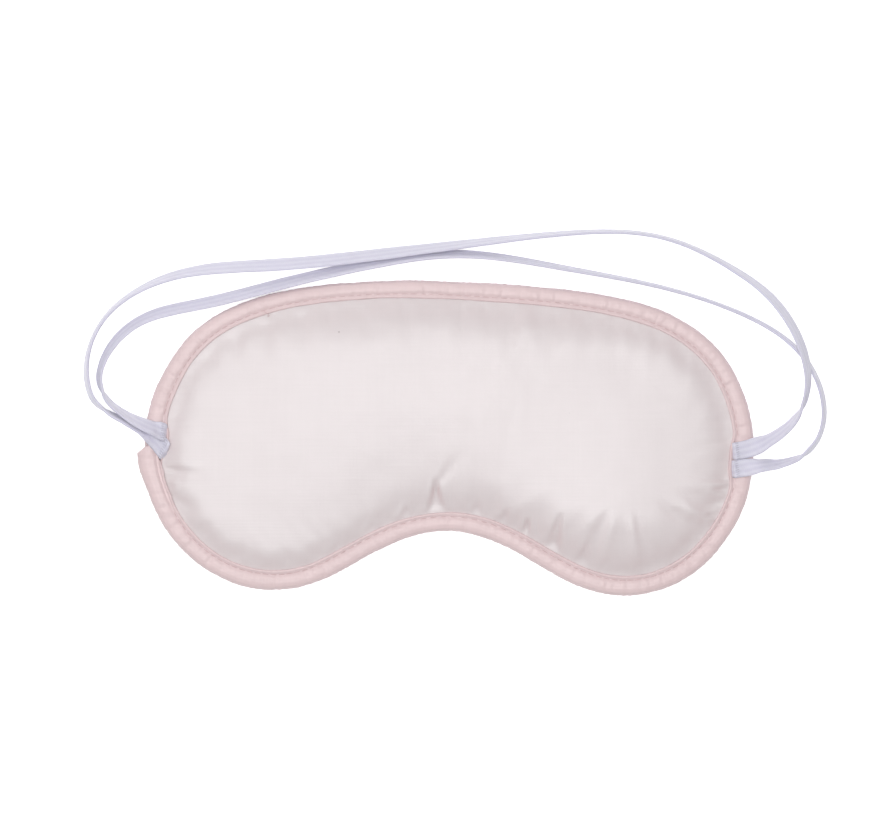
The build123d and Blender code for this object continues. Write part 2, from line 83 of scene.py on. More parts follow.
# Centre lines of the bands from left to right: x, y, width shown to the camera
UPPER_STATIONS = [
    (-93.6, -5.6, 6.06), (-98.9, 0.5, 4.5), (-106.5, 4.7, 2.6), (-113.6, 8.35, 1.3),
    (-118.63, 12.78, 1.45), (-120.66, 19.85, 1.43), (-120.22, 27.68, 0.93), (-117.59, 35.18, 0.77),
    (-113.14, 41.57, 0.94), (-107.3, 46.63, 1.38), (-100.6, 50.55, 2.0), (-93.44, 53.43, 2.65),
    (-86.04, 55.29, 3.21), (-78.47, 56.39, 3.65), (-70.79, 57.0, 3.96), (-63.04, 57.41, 4.17),
    (-55.26, 57.86, 4.28), (-47.47, 58.47, 4.3), (-39.71, 59.22, 4.23), (-31.97, 60.08, 4.1),
    (-24.27, 60.99, 3.91), (-16.6, 61.91, 3.67), (-8.96, 62.84, 3.38), (-1.32, 63.76, 3.07),
    (6.34, 64.69, 2.73), (14.01, 65.6, 2.39), (21.72, 66.49, 2.05), (29.46, 67.31, 1.73),
    (37.22, 68.02, 1.45), (44.99, 68.57, 1.2), (52.74, 68.84, 1.02), (60.44, 68.66, 0.91),
    (68.06, 67.77, 0.87), (75.54, 65.98, 0.94), (82.84, 63.27, 1.11), (89.9, 59.81, 1.38),
    (96.62, 55.91, 1.73), (102.91, 51.7, 2.12), (108.62, 46.69, 2.49), (113.56, 40.51, 2.73),
    (117.46, 33.34, 2.73), (120.0, 25.67, 2.44), (120.81, 18.03, 1.83), (119.45, 10.9, 1.27),
    (115.52, 4.67, 2.77), (109.33, -0.28, 4.21), (101.94, -3.64, 5.2), (94.74, -5.16, 6.0),
]
LOWER_STATIONS = [
    (-93.97, 1.24, 6.04), (-101.05, 4.01, 4.46), (-107.5, 7.35, 2.77), (-113.49, 12.28, 1.69),
    (-116.4, 18.96, 1.63), (-114.84, 26.11, 2.22), (-110.65, 32.6, 2.77), (-104.94, 37.6, 3.11),
    (-98.28, 40.87, 3.5), (-91.11, 42.81, 3.79), (-83.73, 44.29, 3.89), (-76.32, 45.89, 3.89),
    (-68.94, 47.72, 3.86), (-61.59, 49.65, 3.8), (-54.25, 51.56, 3.74), (-46.91, 53.36, 3.65),
    (-39.56, 55.02, 3.55), (-32.19, 56.56, 3.44), (-24.8, 58.0, 3.31), (-17.39, 59.34, 3.16),
    (-9.94, 60.44, 2.99), (-2.48, 61.13, 2.81), (5.01, 61.27, 2.61), (12.51, 60.84, 2.39),
    (20.03, 59.97, 2.15), (27.54, 58.78, 1.92), (35.04, 57.44, 1.68), (42.53, 56.07, 1.45),
    (49.99, 54.73, 1.24), (57.41, 53.35, 1.05), (64.78, 51.86, 0.89), (72.1, 50.16, 0.77),
    (79.33, 48.2, 0.7), (86.48, 45.93, 0.67), (93.53, 43.33, 0.71), (100.45, 40.35, 0.79),
    (107.13, 36.89, 0.91), (113.34, 32.67, 1.04), (118.76, 27.38, 1.15), (123.0, 20.91, 1.22),
    (125.6, 13.53, 1.22), (126.06, 5.9, 1.14), (123.88, -1.01, 1.13), (118.9, -6.24, 1.72),
    (111.49, -9.14, 2.9), (106.68, -9.74, 4.26), (100.73, -10.67, 5.39), (94.31, -11.63, 5.96),
]
BAND_W, BAND_T = 6.0, 0.8
HINGE_LEFT = np.array([-94.1, -1.67])
HINGE_RIGHT = np.array([94.5, -8.03])

# The camera looks straight down; the bands' lean is worked out from its place
CAMERA_X, CAMERA_Y = -0.5, 9.03
CAMERA_HEIGHT = 1600.0


# ---------------------------------------------------------------- numeric helpers
def smoothstep(start, stop, x):
    t = np.clip((np.asarray(x, float) - start) / (stop - start), 0.0, 1.0)
    return t * t * (3 - 2 * t)


def bell(x, centre, width):
    return np.exp(-((x - centre) / width) ** 2)


def gaussian(x, sigma):
    return np.exp(-0.5 * (x / sigma) ** 2)


def hill(x, y, centre_x, centre_y, reach, power=2):
    """1 at a place in plan, falling to 0 about `reach` away."""
    return np.exp(-(np.hypot(x - centre_x, y - centre_y) / reach) ** power)


def add_hills(x, y, base, hills):
    """A base value plus hills: amount, centre x, centre y, reach, power."""
    total = np.full(np.shape(x), base)
    for amount, *place in hills:
        total = total + amount * hill(x, y, *place)
    return total


def unit_rows(vectors):
    return vectors / np.linalg.norm(vectors, axis=1)[:, None]


def smooth_closed_curve(points, count, cut=0.30):
    """Low-pass a closed curve by Fourier series and space `count` points evenly along it."""
    given = np.array(points, float)
    given = given[:, 0] + 1j * given[:, 1]
    size, dense_size = len(given), 16384
    spectrum = np.fft.fft(given)
    waves = np.fft.fftfreq(size, 1.0 / size)
    spectrum = spectrum * np.exp(-(np.abs(waves) / (size * cut)) ** 6)
    padded = np.zeros(dense_size, complex)
    padded[:size // 2] = spectrum[:size // 2]
    padded[-(size // 2):] = spectrum[-(size // 2):]
    dense = np.fft.ifft(padded) * (dense_size / size)
    dense = np.append(dense, dense[0])
    run = np.concatenate([[0.0], np.cumsum(np.abs(np.diff(dense)))])
    even = np.linspace(0, run[-1], count, endpoint=False)
    return np.c_[np.interp(even, run, dense.real), np.interp(even, run, dense.imag)]


def inward_normals(curve):
    """Inward unit normals of a clockwise closed curve."""
    tangent = unit_rows(np.roll(curve, -1, axis=0) - np.roll(curve, 1, axis=0))
    return np.c_[tangent[:, 1], -tangent[:, 0]]


def lattice_noise(x, y, cell, seed):
    """Smooth value noise on a seeded lattice, about -1 to 1."""
    size = 256
    table = np.random.RandomState(seed).uniform(-1, 1, (size, size))
    u, v = x / cell + 97.3, y / cell + 53.7      # moved clear of the lattice's origin
    i, j = np.floor(u).astype(int), np.floor(v).astype(int)
    u, v = smoothstep(0, 1, u - i), smoothstep(0, 1, v - j)
    i_next, j_next = (i + 1) % size, (j + 1) % size
    i, j = i % size, j % size
    return ((table[i, j] * (1 - u) + table[i_next, j] * u) * (1 - v)
            + (table[i, j_next] * (1 - u) + table[i_next, j_next] * u) * v)


def smooth_line(values, sigma, reach):
    """Gaussian smoothing of a line of values; sigma and reach in samples."""
    kernel = gaussian(np.arange(-reach, reach + 1), sigma)
    padded = np.pad(values, reach, mode="edge")
    return np.convolve(padded, kernel / kernel.sum(), mode="valid")


def blur(field, sigma):
    for axis in (0, 1):
        field = np.apply_along_axis(smooth_line, axis, field, sigma, int(3 * sigma + 1))
    return field


# ---------------------------------------------------------------- the mask's edge
EDGE = smooth_closed_curve(OUTLINE, 1200)
EDGE = EDGE + inward_normals(EDGE) * TRIM
EDGE_NORMAL = inward_normals(EDGE)
EDGE_LOOP = np.vstack([EDGE, EDGE[:1]])
NORMAL_LOOP = np.vstack([EDGE_NORMAL, EDGE_NORMAL[:1]])
EDGE_ARC = np.concatenate([[0.0], np.cumsum(np.hypot(*np.diff(EDGE_LOOP, axis=0).T))])
PERIMETER = EDGE_ARC[-1]


def edge_query(x, y):
    """Distance in from the edge (negative outside) and the nearest arc position, for arrays."""
    flat_x, flat_y = np.ravel(x), np.ravel(y)
    edge_x, edge_y = EDGE[::2, 0], EDGE[::2, 1]
    next_x, next_y = np.roll(edge_x, -1), np.roll(edge_y, -1)
    rise = np.where(next_y == edge_y, 1e-9, next_y - edge_y)
    depth = np.empty(len(flat_x))
    arc = np.empty(len(flat_x))
    chunk = 4000                 # keeps the distance tables small
    for start in range(0, len(flat_x), chunk):
        part = slice(start, start + chunk)
        px, py = flat_x[part, None], flat_y[part, None]
        squared = (px - edge_x) ** 2 + (py - edge_y) ** 2
        nearest = squared.argmin(1)
        crosses = (((edge_y > py) != (next_y > py))
                   & (px < (next_x - edge_x) * (py - edge_y) / rise + edge_x))
        away = np.sqrt(squared[np.arange(len(nearest)), nearest])
        depth[part] = np.where(crosses.sum(1) % 2 == 1, away, -away)
        arc[part] = EDGE_ARC[:-1:2][nearest]
    return depth.reshape(np.shape(x)), arc.reshape(np.shape(x))


def edge_at(arc):
    """Position and inward normal of the edge at arc positions (wrapping)."""
    arc = np.mod(arc, PERIMETER)
    point = np.c_[tuple(np.interp(arc, EDGE_ARC, column) for column in EDGE_LOOP.T)]
    normal = np.c_[tuple(np.interp(arc, EDGE_ARC, column) for column in NORMAL_LOOP.T)]
    return point, unit_rows(normal)


def edge_noise(arc, waves, seed):
    """Smooth periodic noise along the edge; waves are (wavelength in mm, strength)."""
    count = 4096
    rng = np.random.RandomState(seed)
    turn = np.linspace(0, 1, count, endpoint=False)
    noise = np.zeros(count)
    for wavelength, strength in waves:
        for _ in range(7):
            cycles = max(1, int(round(PERIMETER / wavelength * rng.uniform(0.7, 1.4))))
            amount = strength * rng.uniform(0.4, 1.0)
            noise += amount * np.sin(2 * np.pi * (cycles * turn + rng.rand()))
    return np.interp(arc, np.linspace(0, PERIMETER, count, endpoint=False), noise / 2.6)


# ---------------------------------------------------------------- mesh helpers
def make_mesh(name, verts_mm, faces, uv=None):
    mesh = bpy.data.meshes.new(name)
    verts = np.asarray(verts_mm, float) * MM
    mesh.from_pydata([tuple(p) for p in verts], [], [tuple(int(i) for i in f) for f in faces])
    mesh.validate()
    mesh.update()
    mesh.polygons.foreach_set("use_smooth", [True] * len(mesh.polygons))
    if uv is not None:
        layer = mesh.uv_layers.new(name="flat")
        loops = np.zeros(len(mesh.loops), int)
        mesh.loops.foreach_get("vertex_index", loops)
        layer.data.foreach_set("uv", np.asarray(uv, np.float32)[loops].ravel())
    ob = bpy.data.objects.new(name, mesh)
    bpy.context.scene.collection.objects.link(ob)
    return ob


def tube_faces(rings, sides, base=0, flip=False):
    """Quads between successive closed rings of vertices."""
    faces = []
    for i in range(rings - 1):
        this, following = base + i * sides, base + (i + 1) * sides
        for j in range(sides):
            k = (j + 1) % sides
            face = (this + j, this + k, following + k, following + j)
            faces.append(face[::-1] if flip else face)
    return faces


def tube_caps(rings, sides, base=0):
    last = base + (rings - 1) * sides
    return [tuple(range(base, base + sides))[::-1], tuple(range(last, last + sides))]


# ---------------------------------------------------------------- pad surface
GRID = 0.9                               # mm grid of the panels
grid_x = np.arange(-103.5, 104.6, GRID)
grid_y = np.arange(-54.0, 54.1, GRID)
GRID_X, GRID_Y = np.meshgrid(grid_x, grid_y, indexing="ij")
DEPTH, ARC = edge_query(GRID_X, GRID_Y)  # distance in from the edge, nearest arc position

# Each table of hills: amount, centre x, centre y, reach, power
TAPE_WIDTH = 6.65                        # less along the brow and notch, more at the left side
TAPE_WIDTH_HILLS = (
    (-0.75, -25.0, 52.0, 45.0, 2), (-0.30, 45.0, 50.0, 35.0, 2),
    (-0.25, 0.0, -32.0, 28.0, 2), (0.25, -101.0, -14.0, 30.0, 2),
)
SHOULDER_REACH = 7.6                     # how far in from the seam the shoulder rounds over
SHOULDER_REACH_HILLS = (
    (20.0, 57.0, -46.0, 34.0, 2), (9.0, 0.0, 52.0, 62.0, 4), (4.5, -78.0, 32.0, 30.0, 2),
    (2.5, 100.0, 0.0, 26.0, 2), (-4.0, -2.0, -30.0, 26.0, 2), (-1.2, -60.0, -48.0, 30.0, 2),
)
SHOULDER_HEIGHT = 1.45                   # how high the shoulder stands
SHOULDER_HEIGHT_HILLS = (
    (3.4, 57.0, -46.0, 34.0, 2), (-0.92, -4.0, -30.0, 24.0, 2), (-0.70, -78.0, 32.0, 32.0, 2),
    (0.45, 0.0, 52.0, 50.0, 4), (-0.40, 90.0, -2.0, 30.0, 2),
)
SWELL_HEIGHT = 3.1                       # rise of the membrane over the shoulder


def tape_width_at(x, y):
    """Width of binding showing on the front."""
    return add_hills(x, y, TAPE_WIDTH, TAPE_WIDTH_HILLS)


def pull_at(x, y):
    """1 at the two places where the bands are sewn in, 0 elsewhere."""
    return np.maximum(hill(x, y, -101.2, -0.8, 6.2, 4), hill(x, y, 102.9, -8.2, 7.6, 4))


def onto_grid(field, from_x, from_y):
    """Interpolate a field from a coarser plan grid onto the panel grid."""
    columns = [np.interp(grid_x, from_x, field[:, j]) for j in range(len(from_y))]
    part = np.stack(columns, axis=1)
    return np.stack([np.interp(grid_y, from_y, row) for row in part], axis=0)


def membrane():
    """An inflated sheet held at the tape's inner edge, 1 at its highest."""
    cell = 2.7
    xs = np.arange(-106, 106.1, cell)
    ys = np.arange(-57, 57.1, cell)
    depth, _ = edge_query(*np.meshgrid(xs, ys, indexing="ij"))
    inside = depth > TAPE_W - 0.8
    rise = np.zeros_like(depth)
    for _ in range(2600):
        around = (np.roll(rise, 1, 0) + np.roll(rise, -1, 0)
                  + np.roll(rise, 1, 1) + np.roll(rise, -1, 1))
        rise = np.where(inside, 0.25 * around + cell * cell, 0.0)
    return blur(onto_grid(rise / rise.max(), xs, ys), 2.6 / GRID)


def crown_surface():
    """Rise of a stuffed pad over its flat sewn edge, and distance in from the tape's lip:
    a membrane with a rounded shoulder along the seam, broader where the filling is slack."""
    lip = tape_width_at(GRID_X, GRID_Y) + 0.10 + 1.5 * pull_at(GRID_X, GRID_Y)
    inner = np.clip(DEPTH - lip, 0.0, None)
    reach = add_hills(GRID_X, GRID_Y, SHOULDER_REACH, SHOULDER_REACH_HILLS)
    reach = reach * (1 + 0.20 * edge_noise(ARC, [(11.0, 1.0), (19.0, 0.8)], 41))
    shoulder = 1 - (1 - np.clip(inner / reach, 0.0, 1.0)) ** 2.0
    swell = (1 - np.exp(-inner / 3.0)) * np.clip(membrane(), 0, None) ** 0.85
    height = add_hills(GRID_X, GRID_Y, SHOULDER_HEIGHT, SHOULDER_HEIGHT_HILLS)
    return height * shoulder + SWELL_HEIGHT * swell / swell.max(), inner


CROWN, INNER = crown_surface()


# ---------------------------------------------------------------- cloth simulation of the satin
CLOTH = dict(
    quality=6, mass=0.25,
    tension_stiffness=18, compression_stiffness=18, shear_stiffness=6, bending_stiffness=0.25,
    vertex_group_mass="pins",
    shrink_min=-0.030,                   # negative: the sheet grows
    use_pressure=True, uniform_pressure_force=6.0,
)
CLOTH_CELL = 1.75
CLOTH_SCALE = 5.0                        # simulated five times life size, where the solver is happiest
CLOTH_FRAMES = 34


def run_cloth(ob):
    """Simulate the sheet and return its vertex positions in mm."""
    modifier = ob.modifiers.new("Cloth", "CLOTH")
    for key, value in CLOTH.items():
        setattr(modifier.settings, key, value)
    modifier.settings.effector_weights.gravity = 0.0
    modifier.collision_settings.use_self_collision = False
    modifier.collision_settings.use_collision = False
    modifier.point_cache.frame_start = 1
    modifier.point_cache.frame_end = CLOTH_FRAMES
    scene = bpy.context.scene
    for frame in range(1, CLOTH_FRAMES + 1):
        scene.frame_set(frame)
    result = ob.evaluated_get(bpy.context.evaluated_depsgraph_get()).to_mesh()
    coords = np.zeros(len(result.vertices) * 3)
    result.vertices.foreach_get("co", coords)
    scene.frame_set(1)
    return coords.reshape(-1, 3) / (MM * CLOTH_SCALE)


def simulate_satin():
    """A satin sheet a little too big for its seam, pinned round the seam and blown out:
    only its puckers are kept, to be laid over the crown."""
    xs = np.arange(-100.0, 101.0, CLOTH_CELL)
    ys = np.arange(-50.0, 51.0, CLOTH_CELL)
    sheet_x, sheet_y = np.meshgrid(xs, ys, indexing="ij")
    depth, _ = edge_query(sheet_x, sheet_y)
    keep = depth > TAPE_W - 1.9
    index = -np.ones(keep.shape, int)
    index[keep] = np.arange(keep.sum())
    verts = np.c_[sheet_x[keep], sheet_y[keep], np.zeros(keep.sum())]
    verts[:, 2] = np.random.RandomState(4).uniform(0, 0.08, len(verts))
    faces = []
    for i in range(len(xs) - 1):
        for j in range(len(ys) - 1):
            quad = (index[i, j], index[i + 1, j], index[i + 1, j + 1], index[i, j + 1])
            if min(quad) >= 0:
                faces.append(quad)
    ob = make_mesh("satin_sim", verts * CLOTH_SCALE, faces)
    pins = ob.vertex_groups.new(name="pins")
    pins.add([int(i) for i in np.where(depth[keep] < TAPE_W + 0.35)[0]], 1.0, "REPLACE")
    sheet_z = run_cloth(ob)[:, 2]
    bpy.data.objects.remove(ob)

    z = np.zeros(keep.shape)
    z[keep] = sheet_z
    broad = blur(z, 2.6) / np.maximum(blur(keep.astype(float), 2.6), 0.2)
    fine = np.where(keep, z - broad, 0.0)
    fine *= smoothstep(TAPE_W, TAPE_W + 3.5, depth)
    outward = 1.0 if np.median(sheet_z) > 0 else -1.0
    return blur(onto_grid(np.clip(fine * outward, -1.2, 1.2), xs, ys), 0.8)


puckers = simulate_satin()


# ---------------------------------------------------------------- creases and needle puckers
# Furrows: x, y at the foot, x, y at the far end, width, depth, height of the ridge beside it
CREASES = (
    (-2.6, -15.2, 6.0, -3.6, 1.5, 0.26, 0.08),        # up to the right from the notch tuck
    (94.6, -14.6, 78.0, -12.6, 0.9, 0.36, 0.16),      # fanning out of the right band ends
    (94.0, -1.6, 80.0, -3.8, 1.0, 0.28, 0.12),
    (93.0, -21.6, 80.0, -24.4, 0.9, 0.26, 0.10),
    (-93.0, -10.6, -80.0, -12.6, 0.9, 0.34, 0.16),    # by the left band ends and the lapped tape
    (-92.0, -19.5, -84.5, -24.0, 0.8, 0.26, 0.0),
    (-93.0, 3.5, -80.0, 2.0, 1.0, 0.26, 0.10),
)
# Tucks: x, y of the foot on the seam, x, y of the point, half width, depth, height of the ridges
PLEATS = (
    (-3.2, -25.6, -3.7, -12.9, 3.6, 1.75, 0.22),      # deep tuck in the nose notch
    (-14.0, -28.2, -13.0, -21.8, 2.4, 0.42, 0.16),
    (9.6, -26.8, 10.6, -20.6, 2.7, 0.40, 0.14),
    (18.6, -30.2, 20.8, -22.2, 2.8, 0.62, 0.16),
    (26.6, -33.2, 27.4, -25.6, 1.7, 1.05, 0.42),
    (35.2, -38.0, 38.6, -23.6, 3.4, 0.85, 0.30),
    (45.0, -43.0, 48.0, -33.0, 2.6, 0.42, 0.16),
    (-26.0, -33.6, -24.0, -27.6, 2.2, 0.34, 0.12),
    (-38.0, -40.0, -35.5, -34.2, 2.2, 0.28, 0.10),
    (94.6, -17.6, 86.6, -17.4, 1.5, 0.75, 0.42),      # at the right band ends
    (91.8, -26.6, 85.4, -25.8, 1.1, 0.50, 0.40),
    (-93.6, -13.6, -89.0, -14.2, 0.7, 0.55, 0.25),    # below the left band ends
    (-93.0, -16.2, -88.6, -17.2, 0.7, 0.55, 0.25),
)


def along_and_across(x0, y0, x1, y1):
    """Grid coordinates of a line: 0 to 1 along it, and mm to its left."""
    dx, dy = x1 - x0, y1 - y0
    length = math.hypot(dx, dy)
    along = ((GRID_X - x0) * dx + (GRID_Y - y0) * dy) / (length * length)
    return along, ((GRID_X - x0) * -dy + (GRID_Y - y0) * dx) / length


def crease(x0, y0, x1, y1, width, depth, ridge):
    """A furrow from one point to another that widens and fades along its length."""
    along, across = along_and_across(x0, y0, x1, y1)
    width = width * (0.55 + 0.75 * np.clip(along, 0, 1))
    fade = smoothstep(-0.12, 0.05, along) * (1 - smoothstep(0.25, 1.05, along))
    return fade * (ridge * gaussian(across - 2.0 * width, 0.9 * width)
                   - depth * gaussian(across, width))


def pleat(x0, y0, x1, y1, half, depth, ridge):
    """A tuck: a three-sided valley with its foot on the seam and its point inside the panel."""
    along, across = along_and_across(x0, y0, x1, y1)
    across = np.abs(across)
    width = half * np.clip(1 - along, 0.02, 1.15)
    valley = (np.clip(1 - across / width, 0, 1)
              * smoothstep(-0.25, -0.05, along) * (1 - smoothstep(0.55, 1.05, along)))
    sides = (bell(across, width + 0.7, 0.85)
             * smoothstep(-0.1, 0.15, along) * (1 - smoothstep(0.5, 1.15, along)))
    return ridge * sides - depth * valley


def front_detail():
    """Creases, tucks, needle puckers and unevenness of the wadding, as heights."""
    detail = sum(crease(*entry) for entry in CREASES) + sum(pleat(*entry) for entry in PLEATS)
    # needle puckers all along the seam, one every few stitches
    needle = edge_noise(ARC, [(4.6, 1.0), (8.5, 0.8), (16.0, 0.5)], 11)
    detail += 0.20 * needle * np.exp(-INNER / 2.6) * smoothstep(0.0, 1.2, INNER)
    # slack fill: height, cell, seed, distance in from the tape over which it grows
    for height, cell, seed, grow in ((0.30, 21.0, 3, 14), (0.08, 7.0, 5, 8)):
        uneven = lattice_noise(GRID_X, GRID_Y, cell, seed)
        detail += height * uneven * smoothstep(TAPE_W + 1, TAPE_W + grow, DEPTH)
    return detail


def front_surface():
    pucker_fade = 0.12 + 0.6 * bell(INNER, 0.0, 9.0)
    relief = np.maximum(front_detail(), -0.62 * CROWN) + PUCKER * puckers * pucker_fade
    height = FRONT_Z + CROWN + relief * smoothstep(0.0, 1.8, INNER)
    return np.maximum(height, FRONT_Z - 0.02)


def back_surface():
    """Flat on the floor, rising to the tape, with small puckers beside the seam."""
    wave = edge_noise(ARC, [(5.2, 1.0), (9.5, 0.8), (19.0, 0.5)], 29)
    height = BACK_Z * (1 - smoothstep(TAPE_W + 0.2, 12.8, DEPTH))
    height = height + 0.10 * (0.5 + 0.5 * wave) * bell(DEPTH, 9.8, 2.6) + 0.015
    return np.maximum(height, 0.01)


# ---------------------------------------------------------------- layers of the pad
UV_MM = 50.0                             # mm to one unit of UV on the satin


def grid_layer(name, inset, z_top, z_low):
    """Closed sheet on the plan grid between two height fields, its rim drawn to the inset curve."""
    keep = DEPTH >= inset
    cell = keep[:-1, :-1] & keep[1:, :-1] & keep[1:, 1:] & keep[:-1, 1:]
    used = np.zeros_like(keep)
    for rows in (slice(None, -1), slice(1, None)):
        for columns in (slice(None, -1), slice(1, None)):
            used[rows, columns] |= cell
    count = int(used.sum())
    index = -np.ones(keep.shape, int)
    index[used] = np.arange(count)
    x, y = GRID_X[used].copy(), GRID_Y[used].copy()
    i, j = np.nonzero(cell)
    quads = np.c_[index[i, j], index[i + 1, j], index[i + 1, j + 1], index[i, j + 1]]
    # rim edges are those used once
    edges = np.vstack([quads[:, [a, (a + 1) % 4]] for a in range(4)])
    ordered = np.sort(edges, axis=1)
    keys = ordered[:, 0] * (count + 1) + ordered[:, 1]
    _, first, uses = np.unique(keys, return_index=True, return_counts=True)
    rim = edges[first[uses == 1]]
    rim_verts = np.unique(rim)
    ring = EDGE + EDGE_NORMAL * inset
    squared = (x[rim_verts][:, None] - ring[:, 0]) ** 2 + (y[rim_verts][:, None] - ring[:, 1]) ** 2
    x[rim_verts], y[rim_verts] = ring[squared.argmin(1)].T
    faces = [tuple(q) for q in quads] + [tuple(q[::-1] + count) for q in quads]
    faces += [(b, a, a + count, b + count) for a, b in rim]
    verts = np.vstack([np.c_[x, y, z_top[used]], np.c_[x, y, z_low[used]]])
    return make_mesh(name, verts, faces, uv=verts[:, :2] / UV_MM)


top, back = front_surface(), back_surface()
PANEL_INSET, FILLING_INSET = 1.0, 1.5    # rims of the layers, in from the edge

front_panel = grid_layer("front_panel_satin", PANEL_INSET, top, top - 0.28)
back_panel = grid_layer("back_panel_satin", PANEL_INSET, back + 0.26, back)
lining = grid_layer("blackout_lining_sheet", FILLING_INSET, back + 0.50, back + 0.31)
wadding = grid_layer("wadding_fill", FILLING_INSET,
                     np.maximum(top - 0.34, back + 0.62), back + 0.56)

# ---------------------------------------------------------------- edge binding
LAP_Y = -5.3                             # where the tape's folded end lies on the left side
LAP_OVERLAP = 17.0                       # length of tape under the lap
TAPE_STATIONS = 1120
TAPE_THICK = 0.42
# distances out from the lip at which a face of the tape is sampled, up to FACE_END
FACE_STEPS = np.array([0.0, 0.15, 0.35, 0.6, 0.9, 1.15, 1.4, 1.7, 2.1, 2.7, 3.4])
FACE_END = 2.4                           # distance in from the fold where the bend takes over
FOLD_ANGLES = np.radians(np.linspace(-66, 66, 11))

left_side = np.where(EDGE[:, 0] < -90)[0]
LAP_ARC = float(EDGE_ARC[left_side[np.argmin(np.abs(EDGE[left_side, 1] - LAP_Y))]])


def tape_cap(first, outer_count, count, flip):
    """Triangles across the tape's thickness at one end, between outer and inner skins."""
    outer = list(range(first, first + outer_count))
    inner = list(range(first + outer_count, first + count))[::-1]    # lower lip to upper lip
    faces = []
    a, b = 0, 0
    while a < len(outer) - 1 or b < len(inner) - 1:
        next_a = (a + 1) / (len(outer) - 1) if a < len(outer) - 1 else 2
        next_b = (b + 1) / (len(inner) - 1) if b < len(inner) - 1 else 2
        if next_a <= next_b:
            faces.append((outer[a], outer[a + 1], inner[b]))
            a += 1
        else:
            faces.append((outer[a], inner[b + 1], inner[b]))
            b += 1
    return [face[::-1] for face in faces] if flip else faces


